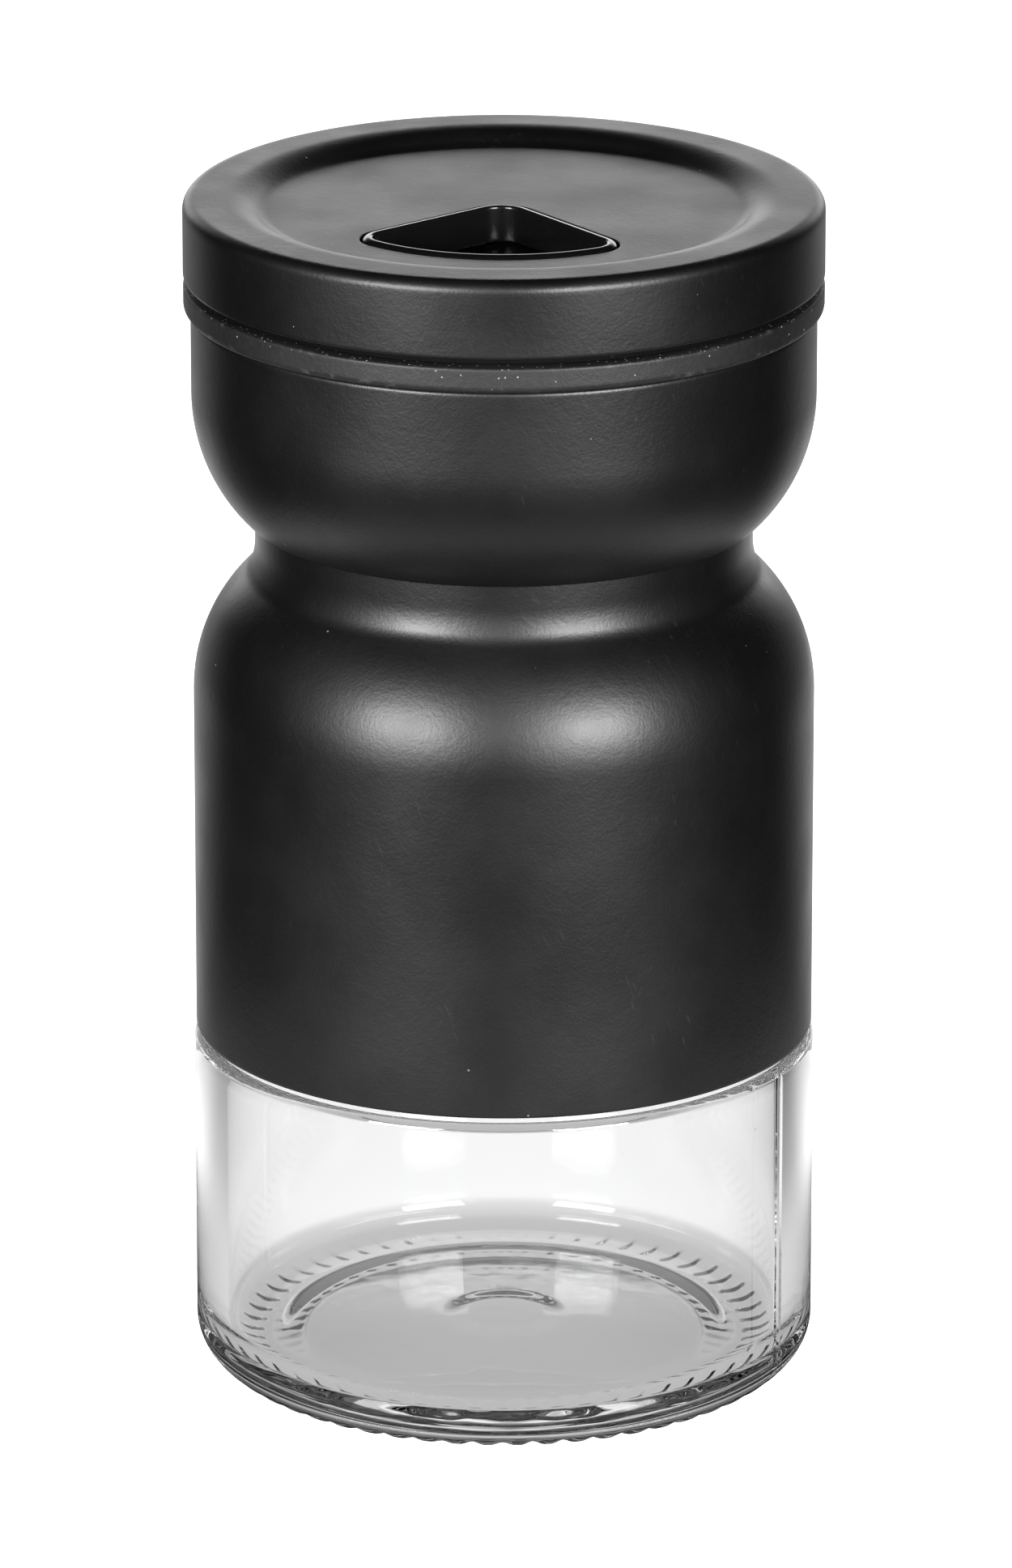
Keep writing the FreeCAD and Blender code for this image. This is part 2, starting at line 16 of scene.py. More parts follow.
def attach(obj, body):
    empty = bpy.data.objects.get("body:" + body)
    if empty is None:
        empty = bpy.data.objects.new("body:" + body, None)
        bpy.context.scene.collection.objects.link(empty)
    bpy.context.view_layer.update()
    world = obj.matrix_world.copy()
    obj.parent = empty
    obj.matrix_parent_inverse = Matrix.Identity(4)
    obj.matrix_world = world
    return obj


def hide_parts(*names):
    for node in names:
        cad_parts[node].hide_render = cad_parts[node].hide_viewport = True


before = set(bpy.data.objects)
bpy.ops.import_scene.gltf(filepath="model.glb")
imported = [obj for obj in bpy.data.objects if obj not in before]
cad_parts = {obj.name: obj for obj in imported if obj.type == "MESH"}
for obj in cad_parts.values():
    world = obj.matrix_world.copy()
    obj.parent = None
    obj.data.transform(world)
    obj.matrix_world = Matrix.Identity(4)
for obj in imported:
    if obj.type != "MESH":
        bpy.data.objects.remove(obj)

scene = bpy.context.scene
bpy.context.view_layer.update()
MM = 0.001

# %% [markdown]
# ## Camera
# The picture was taken from a little above with a long lens, so the jar's sides stay almost parallel.
# The focal length is known in pixels of the whole frame, and Blender wants it in millimetres on a
# sensor whose width lies along the longer side. The dial's window looks along -Y, and the camera
# stands a few degrees round from it.

# %% Camera
IMAGE_HEIGHT = 1937
FOCAL_PIXELS = 14182
CENTRE_SHIFT_PIXELS = 2.5
SENSOR = 36.0
CAMERA_TURN = math.radians(6.5)
CAMERA_PITCH = math.radians(18.279)
CAMERA_REACH = 0.8952
CAMERA_HEIGHT = 0.3453


def towards(azimuth, reach, height):
    """A point seen from the jar's axis, with azimuth 0 at -Y and 90 degrees at +X."""
    return Vector((math.sin(azimuth) * reach, -math.cos(azimuth) * reach, height))


lens = bpy.data.cameras.new("camera")
lens.sensor_width = SENSOR
lens.lens = SENSOR * FOCAL_PIXELS / IMAGE_HEIGHT
lens.shift_x = CENTRE_SHIFT_PIXELS / IMAGE_HEIGHT
camera = bpy.data.objects.new("camera", lens)
scene.collection.objects.link(camera)
turned = Matrix.Rotation(CAMERA_TURN, 4, "Z") @ Matrix.Rotation(math.pi / 2 - CAMERA_PITCH, 4, "X")
camera.matrix_world = Matrix.Translation(towards(CAMERA_TURN, CAMERA_REACH, CAMERA_HEIGHT)) @ turned
scene.camera = camera
print("lens, mm:", round(lens.lens, 1))

# %% [markdown]
# ## Node helpers
# Shader trees and Geometry Nodes trees are both built from nodes and links. A few small helpers keep the
# steps below readable. The first adds a node and fills its inputs with numbers or with links. The next ones
# do a sum on numbers or on vectors, multiply several numbers, mix two, or step softly from one to another.
# The last starts a node group with named inputs and outputs.

# %% Node helpers
FLOAT = "NodeSocketFloat"
VECTOR = "NodeSocketVector"
GEOMETRY = "NodeSocketGeometry"
MATERIAL = "NodeSocketMaterial"


def add(tree, kind, inputs=None, **settings):
    """Adds a node, sets its options, and fills its inputs with values or links."""
    node = tree.nodes.new(kind)
    for key, value in settings.items():
        setattr(node, key, value)
    for key, value in (inputs or {}).items():
        if isinstance(value, bpy.types.NodeSocket):
            tree.links.new(value, node.inputs[key])
        else:
            node.inputs[key].default_value = value
    return node


def calc(tree, operation, *values):
    """One sum on numbers."""
    return add(tree, "ShaderNodeMath", dict(enumerate(values)), operation=operation).outputs[0]


def vector_calc(tree, operation, *values):
    """One sum on vectors. A length or a dot product comes out as a number."""
    node = add(tree, "ShaderNodeVectorMath", dict(enumerate(values)), operation=operation)
    return node.outputs["Value" if operation in ("LENGTH", "DOT_PRODUCT") else "Vector"]


def product(tree, value, *others):
    """Several numbers multiplied together."""
    for other in others:
        value = calc(tree, "MULTIPLY", value, other)
    return value


def mix(tree, share, low, high):
    """A share of the way from one number to another."""
    return add(tree, "ShaderNodeMix", {0: share, 2: low, 3: high}).outputs[0]


def fade(tree, value, low, high, start=0.0, end=1.0):
    """A soft step of a value from one number to another."""
    inputs = {"Value": value, "From Min": low, "From Max": high, "To Min": start, "To Max": end}
    return add(tree, "ShaderNodeMapRange", inputs, interpolation_type="SMOOTHSTEP").outputs[0]


def new_group(name, kind, inputs, outputs):
    """A node group with named sockets, and the sockets that its own nodes read and feed."""
    tree = bpy.data.node_groups.new(name, kind)
    for socket_name, (socket_type, value) in inputs.items():
        socket = tree.interface.new_socket(socket_name, in_out="INPUT", socket_type=socket_type)
        if value is not None:
            socket.default_value = value
    for socket_name, socket_type in outputs.items():
        tree.interface.new_socket(socket_name, in_out="OUTPUT", socket_type=socket_type)
    return tree, tree.nodes.new("NodeGroupInput").outputs, tree.nodes.new("NodeGroupOutput").inputs


print("node helpers ready")

# %% [markdown]
# ## Room
# Satin black shows hardly any colour of its own, so its look comes from what it mirrors. The world is a dim
# room, the same all round, and white only where the camera looks straight at it. Seen through glass it is
# paler than in the paint, most of all low down, because glass gathers light from everywhere. The lamps and
# the floor hang on a rig that copies the camera's turn, as on a turntable, so the jar is lit the same way
# from every side.

# %% Room
WHITE = (1, 1, 1, 1)
ROOM_LIGHT = 0.008
LOW_THROUGH_GLASS = 0.50
HIGH_THROUGH_GLASS = 0.15
THROUGH_GLASS_RUN = (0.12, 0.46)
ROOM_SEEN = 1.2

rig = bpy.data.objects.new("light_rig", None)
scene.collection.objects.link(rig)
follow = rig.constraints.new("COPY_ROTATION")
follow.target = camera
follow.use_x = False
follow.use_y = False

world = bpy.data.worlds.new("studio")
scene.world = world
world.use_nodes = True
sky = world.node_tree
sky.nodes.clear()
direction = add(sky, "ShaderNodeTexCoord").outputs["Generated"]
height = add(sky, "ShaderNodeSeparateXYZ", {0: direction}).outputs["Z"]
through = fade(sky, height, *THROUGH_GLASS_RUN, LOW_THROUGH_GLASS, HIGH_THROUGH_GLASS)
path = add(sky, "ShaderNodeLightPath").outputs
strength = mix(sky, path["Is Transmission Ray"], ROOM_LIGHT, through)
strength = mix(sky, path["Is Camera Ray"], strength, ROOM_SEEN)
glow = add(sky, "ShaderNodeBackground", {"Color": WHITE, "Strength": strength})
add(sky, "ShaderNodeOutputWorld", {"Surface": glow.outputs[0]})
print("room light:", ROOM_LIGHT)

# %% [markdown]
# ## Soft boxes
# Two soft boxes stand to the left and right of the camera, light everything, and draw the two bright bands
# down the sleeve. A third stands behind the jar for the pale rims. In clear glass it would show as a hard
# white patch, so light linking keeps it off the glass. Light passes many walls of glass before it comes out
# again, so the bounces are raised.

# %% Soft boxes
BOX_REACH = 0.70
BOX_AIM = 0.06
SOFT_BOXES = {
    "left": {"azimuth": -36.5, "height": 0.235, "size": (0.34, 0.24), "power": 9.4},
    "right": {"azimuth": 32.0, "height": 0.235, "size": (0.34, 0.24), "power": 9.4},
    "back": {"azimuth": 180.0, "height": 0.20, "size": (0.80, 0.28), "power": 2.1},
}
GLASS_BOUNCES = 24
ALL_BOUNCES = 32

lit_from_behind = bpy.data.collections.new("lit_from_behind")
for side, box in SOFT_BOXES.items():
    lamp = bpy.data.lights.new(f"soft_box_{side}", "AREA")
    lamp.shape = "RECTANGLE"
    lamp.size, lamp.size_y = box["size"]
    lamp.energy = box["power"]
    soft_box = bpy.data.objects.new(lamp.name, lamp)
    scene.collection.objects.link(soft_box)
    soft_box.parent = rig
    soft_box.location = towards(math.radians(box["azimuth"]), BOX_REACH, box["height"])
    aim = Vector((0, 0, BOX_AIM)) - soft_box.location
    soft_box.rotation_euler = aim.to_track_quat("-Z", "Y").to_euler()
    soft_box.visible_camera = False
    if side == "back":
        soft_box.visible_transmission = False
        soft_box.light_linking.receiver_collection = lit_from_behind
scene.view_settings.view_transform = "Standard"
scene.cycles.glossy_bounces = GLASS_BOUNCES
scene.cycles.transmission_bounces = GLASS_BOUNCES
scene.cycles.max_bounces = ALL_BOUNCES
print("soft boxes:", list(SOFT_BOXES))

# %% [markdown]
# ## Floor
# The jar stands on a pale floor, a large disc that the camera sees as even white, like the paper on a photo
# table. A plane would do as well, but a disc looks the same from every side.

# %% Floor
FLOOR_RADIUS = 6.0
FLOOR_SIDES = 96
FLOOR_LOOK = {"Base Color": (0.82, 0.82, 0.82, 1), "Roughness": 0.9, "Specular IOR Level": 0.1,
              "Emission Color": WHITE, "Emission Strength": 1.0}


def set_inputs(node, values):
    """Sets plain values on a node's own sockets."""
    for name, value in values.items():
        node.inputs[name].default_value = value


floor_mesh = bpy.data.meshes.new("floor")
rim = [towards(math.tau * k / FLOOR_SIDES, FLOOR_RADIUS, 0.0) for k in range(FLOOR_SIDES)]
floor_mesh.from_pydata(rim, [], [range(FLOOR_SIDES)])
floor = bpy.data.objects.new("floor", floor_mesh)
floor.parent = rig
scene.collection.objects.link(floor)
floor_paint = bpy.data.materials.new("pale_floor")
floor_paint.use_nodes = True
floor_tree = floor_paint.node_tree
floor_shader = floor_tree.nodes["Principled BSDF"]
set_inputs(floor_shader, FLOOR_LOOK)
floor_mesh.materials.append(floor_paint)
lit_from_behind.objects.link(floor)
print("floor radius, m:", FLOOR_RADIUS)

# %% [markdown]
# ## Light from the floor
# A photographer sets white and black cards round a glass jar to draw its edges. Here the floor itself glows
# by distance and direction, which needs no cards. Through glass, it is bright in front of the jar and behind
# it, and dim to the left and right, where the dark lines in the glass come from. Right round the jar it is a
# little darker, a painted shadow. In mirrored light, it is dark right round the jar, a painted shadow too,
# then bright close to the jar and in a strip behind it, which lightens the rims of sleeve and bowl.

# %% Floor through glass
CAMERA_SIDE = towards(0, 1, 0)
FLOOR_LEFT = 0.40
FLOOR_RIGHT = 0.20
FLOOR_BACK = 1.04
BACK_RUN = (math.cos(math.radians(56)), math.cos(math.radians(15)))
GLOW_ROUND_JAR = 0.8
GLOW_RUN = (0.042, 0.066)
# Seen through glass, the floor is darker right round the jar: a painted shadow of the jar.
FLOOR_SHADE_NEAR = 0.55
SHADE_NEAR_RUN = (0.026, 0.037)

ground = add(floor_tree, "ShaderNodeTexCoord").outputs["Object"]
way = vector_calc(floor_tree, "NORMALIZE", ground)
distance = vector_calc(floor_tree, "LENGTH", ground)
in_line = vector_calc(floor_tree, "DOT_PRODUCT", way, CAMERA_SIDE)
to_right = add(floor_tree, "ShaderNodeSeparateXYZ", {0: way}).outputs["X"]
far_beside = fade(floor_tree, to_right, -1.0, 1.0, FLOOR_LEFT, FLOOR_RIGHT)
beside = fade(floor_tree, distance, *GLOW_RUN, GLOW_ROUND_JAR, far_beside)
through = fade(floor_tree, calc(floor_tree, "ABSOLUTE", in_line), *BACK_RUN, beside, FLOOR_BACK)
# Painted shadow: close to the jar the floor's glow falls to the near value.
through = mix(floor_tree, fade(floor_tree, distance, *SHADE_NEAR_RUN), FLOOR_SHADE_NEAR, through)
print("floor light through glass, left and right:", FLOOR_LEFT, FLOOR_RIGHT)

# %% Floor in mirrored light
MIRRORED_NEAR = 1.5
# In mirrored light the floor is dark right round the jar, a painted shadow, and glows only further out.
MIRRORED_SHADE_RUN = (0.045, 0.068)
MIRRORED_END = (0.062, 0.105)
MIRRORED_BACK = 1.35
MIRRORED_SIDES = (math.cos(math.radians(57)), 1.0)
MIRRORED_RUNS = [(0.045, 0.095, 0.30, 1.0), (0.165, 0.215, 1.10, 1.50), (0.264, 0.284, 1.0, 0.36)]

behind = calc(floor_tree, "MULTIPLY", in_line, -1.0)
sweep = fade(floor_tree, behind, *MIRRORED_SIDES, ROOM_LIGHT, MIRRORED_BACK)
sweep = product(floor_tree, sweep, *[fade(floor_tree, distance, *run) for run in MIRRORED_RUNS])
# The near glow starts some way out from the jar; the dark inside it is a painted shadow.
near = product(floor_tree, fade(floor_tree, distance, *MIRRORED_END, MIRRORED_NEAR, 0.0),
               fade(floor_tree, distance, *MIRRORED_SHADE_RUN))
mirrored = calc(floor_tree, "MAXIMUM", sweep, near)
path = add(floor_tree, "ShaderNodeLightPath").outputs
strength = mix(floor_tree, path["Is Transmission Ray"], mirrored, through)
sheen = add(floor_tree, "ShaderNodeEmission", {"Strength": strength}).outputs[0]
both = add(floor_tree, "ShaderNodeMixShader",
           {0: path["Is Camera Ray"], 1: sheen, 2: floor_shader.outputs[0]}).outputs[0]
floor_tree.links.new(both, floor_tree.nodes["Material Output"].inputs["Surface"])
print("mirrored floor light, near and behind:", MIRRORED_NEAR, MIRRORED_BACK)

# %% [markdown]
# ## Grain
# Paint and moulded plastic are never quite even. Four effects are shared by the finishes below, so each is a
# shader group with its own inputs. All of them read Object coordinates in millimetres, so a pattern keeps
# its real scale on every piece. The first is grain: coarse lumps, fine grit, and wide patches that shift the
# gloss.

# %% Grain
grain, take, give = new_group(
    "surface_grain", "ShaderNodeTree",
    {"Place": (VECTOR, None), "Coarse Size": (FLOAT, 0.5), "Fine Size": (FLOAT, 0.15),
     "Fine Share": (FLOAT, 0.4), "Patch Size": (FLOAT, 9.0)},
    {"Height": FLOAT, "Patch": FLOAT})


def noise(tree, place, size, detail=2.0):
    """Smooth noise whose lumps are about as large as a size in millimetres."""
    inputs = {"Vector": place, "Scale": calc(tree, "DIVIDE", 1.0, size), "Detail": detail}
    return add(tree, "ShaderNodeTexNoise", inputs).outputs[0]


lumps = noise(grain, take["Place"], take["Coarse Size"])
grit = noise(grain, take["Place"], take["Fine Size"], 1.0)
grain.links.new(mix(grain, take["Fine Share"], lumps, grit), give["Height"])
grain.links.new(noise(grain, take["Place"], take["Patch Size"], 3.0), give["Patch"])
print("group:", grain.name)

# %% [markdown]
# ## Dust
# Dust lies as single specks. A Voronoi texture scatters cells, a small round spot is kept in each, and chance
# leaves most cells empty. The glass uses the same group for its seeds, the tiny bubbles left by the melt.

# %% Dust
SPECK_CORE = 0.4

dust, take, give = new_group(
    "dust_specks", "ShaderNodeTree",
    {"Place": (VECTOR, None), "Spacing": (FLOAT, 1.6), "Speck Size": (FLOAT, 0.12), "Share": (FLOAT, 0.5)},
    {"Mask": FLOAT})
cells = add(dust, "ShaderNodeTexVoronoi",
            {"Vector": take["Place"], "Scale": calc(dust, "DIVIDE", 1.0, take["Spacing"])}).outputs
reach = calc(dust, "MULTIPLY", cells["Distance"], take["Spacing"])
core = calc(dust, "MULTIPLY", take["Speck Size"], SPECK_CORE)
spot = fade(dust, reach, core, take["Speck Size"], 1.0, 0.0)
luck = add(dust, "ShaderNodeSeparateColor", {0: cells["Color"]}).outputs[0]
kept = calc(dust, "LESS_THAN", luck, take["Share"])
dust.links.new(calc(dust, "MULTIPLY", spot, kept), give["Mask"])
print("group:", dust.name)

# %% [markdown]
# ## Rub marks
# Handling leaves faint streaks. They are noise drawn out along one direction, a little off upright, and
# broken up by a second, slower noise, so that no streak runs from end to end.

# %% Rub marks
STREAK_RUN = (0.62, 0.75)
BREAK_RUN = (0.75, 0.8)
BREAK_LENGTH = 2.0

rubs, take, give = new_group(
    "rub_marks", "ShaderNodeTree",
    {"Place": (VECTOR, None), "Width": (FLOAT, 0.35), "Length": (FLOAT, 4.0), "Cover": (FLOAT, 0.3),
     "Lean": (FLOAT, 0.35)},
    {"Mask": FLOAT})
leaning = add(rubs, "ShaderNodeVectorRotate", {"Vector": take["Place"], "Angle": take["Lean"]},
              rotation_type="Y_AXIS").outputs[0]
across = calc(rubs, "DIVIDE", 1.0, take["Width"])
along = calc(rubs, "DIVIDE", 1.0, take["Length"])
stretch = add(rubs, "ShaderNodeCombineXYZ", {0: across, 1: across, 2: along}).outputs[0]
drawn = vector_calc(rubs, "MULTIPLY", leaning, stretch)
streak = add(rubs, "ShaderNodeTexNoise", {"Vector": drawn, "Scale": 1.0, "Detail": 2.0}).outputs[0]
broken = noise(rubs, take["Place"], calc(rubs, "MULTIPLY", take["Length"], BREAK_LENGTH))
break_start = calc(rubs, "SUBTRACT", BREAK_RUN[0], take["Cover"])
marks = product(rubs, fade(rubs, streak, *STREAK_RUN), fade(rubs, broken, break_start, BREAK_RUN[1]))
rubs.links.new(marks, give["Mask"])
print("group:", rubs.name)

# %% [markdown]
# ## Worn edges
# Rounded edges lose their finish first. Each mesh skinned from loops carries a mark on the points of its
# rounded edges, and this group breaks that mark up into patches. A Bevel node could find the edges too, but
# the mark is exact.

# %% Worn edges
WORN_RUN = (0.85, 0.9)
WEAR_REACH = 0.5

wear, take, give = new_group(
    "worn_edges", "ShaderNodeTree",
    {"Place": (VECTOR, None), "Edge": (FLOAT, 0.0), "Patch Size": (FLOAT, 1.2), "Wear": (FLOAT, 0.4)},
    {"Mask": FLOAT})
patches = noise(wear, take["Place"], take["Patch Size"], 4.0)
worn_start = calc(wear, "SUBTRACT", WORN_RUN[0], calc(wear, "MULTIPLY", take["Wear"], WEAR_REACH))
worn = fade(wear, patches, worn_start, WORN_RUN[1])
wear.links.new(calc(wear, "MULTIPLY", worn, take["Edge"]), give["Mask"])
print("group:", wear.name)

# %% [markdown]
# ## Paint, plastic and silicone
# Four of the five finishes are the same recipe with other numbers: a body colour, a grain that goes to a Bump
# node, patches that shift the roughness, then dust, rub marks and worn edges that lift the colour. One
# function writes that recipe, and each finish is one call of it.

# %% Recipe for a finish
EDGE = "edge"
UP = "up"
FINE_SHARE = 0.45
DUST_SLOPE = (0.1, 0.9)
DUST_ON_SIDES = 0.08
SPECK_RISE = 2.0
RUB_LIFT = 0.03
RUB_DULL = 0.10
WEAR_LIFT = 0.4
MOTTLE_RUN = (0.45, 0.75)
PATCH_RUN = (0.3, 0.7)


def new_finish(name):
    """A material, its shader, and Object coordinates in millimetres."""
    material = bpy.data.materials.new(name)
    material.use_nodes = True
    tree = material.node_tree
    spot = add(tree, "ShaderNodeTexCoord").outputs["Object"]
    place = add(tree, "ShaderNodeMapping", {"Vector": spot, "Scale": (1 / MM,) * 3}).outputs[0]
    return material, tree, tree.nodes["Principled BSDF"], place


def use_group(tree, group, **inputs):
    """Places a shared effect in a finish with its own values."""
    named = {name.replace("_", " "): value for name, value in inputs.items()}
    return add(tree, "ShaderNodeGroup", named, node_tree=group).outputs


def grained_finish(name, colour, lifted, roughness, spread, bump, coarse, fine, mottle, dust_share, dust_gap,
                   rub_cover, edge_wear):
    """A painted or moulded surface with grain, dust, rub marks and worn edges."""
    material, tree, shader, place = new_finish(name)
    surface = use_group(tree, grain, Place=place, Coarse_Size=coarse, Fine_Size=fine, Fine_Share=FINE_SHARE)
    rounded_part = add(tree, "ShaderNodeAttribute", attribute_name=EDGE).outputs["Fac"]
    upward = add(tree, "ShaderNodeAttribute", attribute_name=UP).outputs["Fac"]
    settled = fade(tree, upward, *DUST_SLOPE, dust_share * DUST_ON_SIDES, dust_share)
    specks = use_group(tree, dust, Place=place, Share=settled, Spacing=dust_gap)["Mask"]
    rubbed = use_group(tree, rubs, Place=place, Cover=rub_cover)["Mask"]
    worn_part = use_group(tree, wear, Place=place, Edge=rounded_part, Wear=edge_wear)["Mask"]
    handled = calc(tree, "MAXIMUM", calc(tree, "MULTIPLY", rubbed, RUB_LIFT),
                   calc(tree, "MULTIPLY", worn_part, WEAR_LIFT))
    mottled = fade(tree, surface["Height"], *MOTTLE_RUN, 0.0, mottle)
    lift = calc(tree, "MAXIMUM", specks, calc(tree, "MAXIMUM", handled, mottled))
    tint = add(tree, "ShaderNodeMix", {0: lift, 6: (*colour, 1), 7: (*lifted, 1)}, data_type="RGBA")
    tree.links.new(tint.outputs[2], shader.inputs["Base Color"])
    gloss = fade(tree, surface["Patch"], *PATCH_RUN, roughness - spread, roughness + spread)
    tree.links.new(calc(tree, "MULTIPLY_ADD", rubbed, RUB_DULL, gloss), shader.inputs["Roughness"])
    relief = calc(tree, "MULTIPLY_ADD", specks, SPECK_RISE, surface["Height"])
    normal = add(tree, "ShaderNodeBump", {"Height": relief, "Distance": bump * MM, "Strength": 1.0})
    tree.links.new(normal.outputs[0], shader.inputs["Normal"])
    return material


print("recipe ready")

# %% Four finishes
black_paint = grained_finish(
    "satin_black_paint", colour=(0.0008,) * 3, lifted=(0.12,) * 3, roughness=0.405, spread=0.03, bump=0.022,
    coarse=0.70, fine=0.24, mottle=0.006, dust_share=0.40, dust_gap=1.6, rub_cover=0.28, edge_wear=0.35)
collar_plastic = grained_finish(
    "matt_collar_plastic", colour=(0.004,) * 3, lifted=(0.20,) * 3, roughness=0.56, spread=0.05, bump=0.030,
    coarse=0.60, fine=0.20, mottle=0.03, dust_share=1.00, dust_gap=0.5, rub_cover=0.15, edge_wear=0.60)
dial_plastic = grained_finish(
    "gloss_dial_plastic", colour=(0.003,) * 3, lifted=(0.12,) * 3, roughness=0.20, spread=0.03, bump=0.002,
    coarse=1.60, fine=0.30, mottle=0.006, dust_share=0.60, dust_gap=1.6, rub_cover=0.20, edge_wear=0.30)
seal_silicone = grained_finish(
    "milky_silicone", colour=(0.60, 0.60, 0.585), lifted=(0.75, 0.75, 0.74), roughness=0.55, spread=0.05,
    bump=0.004, coarse=0.90, fine=0.25, mottle=0.2, dust_share=0.40, dust_gap=1.6, rub_cover=0.10,
    edge_wear=0.10)
print("finishes:", black_paint.name, collar_plastic.name, dial_plastic.name, seal_silicone.name)

# %% [markdown]
# ## Glass
# Glass is its own case. It keeps plain transmission with no roughness. A slow waviness bends the normals of
# its base, as pressing leaves it, and fades out before the smooth wall. A few seeds stand in its skin.

# %% Glass
GLASS_LOOK = {"Base Color": (0.985, 0.988, 0.986, 1), "Roughness": 0.0, "IOR": 1.52,
              "Transmission Weight": 1.0}
WAVE_SIZE = 9.0
WAVE_FINE_SIZE = 3.0
WAVE_FINE_SHARE = 0.2
WAVE_DEPTH = 0.07
WAVE_EDGE = (21.0, 23.0)
SEED_SHARE = 0.25
SEED_SPACING = 4.0
SEED_DEPTH = 1.0

clear_glass, tree, shader, place = new_finish("clear_pressed_glass")
set_inputs(shader, GLASS_LOOK)
waves = use_group(tree, grain, Place=place, Coarse_Size=WAVE_SIZE, Fine_Size=WAVE_FINE_SIZE,
                  Fine_Share=WAVE_FINE_SHARE)
from_axis = vector_calc(tree, "LENGTH", vector_calc(tree, "MULTIPLY", place, (1, 1, 0)))
in_base = calc(tree, "MULTIPLY", waves["Height"], fade(tree, from_axis, *WAVE_EDGE, 1.0, 0.0))
seeds = use_group(tree, dust, Place=place, Share=SEED_SHARE, Spacing=SEED_SPACING)["Mask"]
relief = calc(tree, "MULTIPLY_ADD", seeds, SEED_DEPTH, in_base)
ripple = add(tree, "ShaderNodeBump", {"Height": relief, "Distance": WAVE_DEPTH * MM, "Strength": 1.0})
tree.links.new(ripple.outputs[0], shader.inputs["Normal"])
print("finish:", clear_glass.name)

# %% [markdown]
# ## Sections
# Nearly every piece is turned about the jar's axis. A piece is described by half of its section, a list of
# corners in millimetres, radius first, then height. Sharp corners look false in close-up, so a corner may
# carry a third number, its rounding, and a close extra point on each side keeps the flat stretch flat. A
# Bevel modifier could round the corners too, but here each one needs its own radius.

# %% Sections
SUPPORT = 0.14
SUPPORT_ROOM = 3 * SUPPORT


def arc(centre, radius, start, end, steps, tall=None):
    """Points along an arc, with angles in degrees, 0 outwards and 90 up. A tall one is an ellipse's."""
    angles = np.radians(np.linspace(start, end, steps + 1))
    rise = radius if tall is None else tall
    return [(centre[0] + radius * math.cos(a), centre[1] + rise * math.sin(a)) for a in angles]


def soften(corners, closed=True, steps=4):
    """A section with its marked corners rounded, as rows of radius, height and edge mark."""
    made = []
    count = len(corners)
    for k, corner in enumerate(corners):
        here = np.array(corner[:2], float)
        rounding = corner[2] if len(corner) > 2 else 0.0
        if rounding == 0.0 or (not closed and k in (0, count - 1)):
            made.append((*here, 0.0))
            continue
        back = np.array(corners[k - 1][:2], float) - here
        ahead = np.array(corners[(k + 1) % count][:2], float) - here
        back_room, ahead_room = np.linalg.norm(back), np.linalg.norm(ahead)
        back, ahead = back / back_room, ahead / ahead_room
        half = math.acos(np.clip(back @ ahead, -1, 1)) / 2
        run = rounding / math.tan(half)
        centre = here + (back + ahead) / np.linalg.norm(back + ahead) * rounding / math.sin(half)
        if back_room > run + SUPPORT_ROOM:
            made.append((*(here + back * (run + SUPPORT)), 0.0))
        first, last = here + back * run - centre, here + ahead * run - centre
        swing = math.acos(np.clip(first @ last / rounding ** 2, -1, 1))
        for t in np.linspace(0, 1, steps + 1):
            mixed = (math.sin((1 - t) * swing) * first + math.sin(t * swing) * last) / math.sin(swing)
            made.append((*(centre + mixed), 1.0))
        if ahead_room > run + SUPPORT_ROOM:
            made.append((*(here + ahead * (run + SUPPORT)), 0.0))
    return made


print("support beside a rounding, mm:", SUPPORT)

# %% [markdown]
# ## Loops
# A section becomes a stack of loops, and neighbouring loops are skinned with quads. Loops that shrink to a
# point on the axis are merged into a pole. A stack of loops is kinder than Spin here, because later pieces
# mix circles with other outlines.

# %% Loops
MERGE = 1e-4
SHARP_ANGLE = math.radians(40)


def smooth(mesh):
    """Smooth shading that keeps true corners sharp."""
    mesh.shade_smooth()
    mesh.set_sharp_from_angle(angle=SHARP_ANGLE)


def skin(name, loops, marks, closed):
    """A mesh through a stack of loops in millimetres, with merged poles and outward faces."""
    stack = np.asarray(loops, float)
    rows, around, _ = stack.shape
    faces = []
    for i in range(rows if closed else rows - 1):
        low, high = i * around, (i + 1) % rows * around
        for j in range(around):
            n = (j + 1) % around
            faces.append((low + j, low + n, high + n, high + j))
    mesh = bpy.data.meshes.new(name)
    mesh.from_pydata((stack.reshape(-1, 3) * MM).tolist(), [], faces)
    edge = mesh.attributes.new(EDGE, "FLOAT", "POINT")
    edge.data.foreach_set("value", np.repeat(np.asarray(marks, np.float32), around))
    shape = bmesh.new()
    shape.from_mesh(mesh)
    bmesh.ops.remove_doubles(shape, verts=shape.verts, dist=MM * MERGE)
    bmesh.ops.recalc_face_normals(shape, faces=shape.faces)
    shape.to_mesh(mesh)
    shape.free()
    smooth(mesh)
    return mesh


def turned_loop(reach, angles, z):
    """A loop about the axis, with one reach for all angles or one for each."""
    return np.stack([reach * np.cos(angles), reach * np.sin(angles), np.full(len(angles), z)], 1)


def lathe(name, section, around=256):
    """A closed piece turned about the axis from its section."""
    angles = np.arange(around) * math.tau / around
    loops = [turned_loop(r, angles, z) for r, z, _ in section]
    return skin(name, loops, [mark for *_, mark in section], True)


print("points must lie apart by, mm:", MERGE)
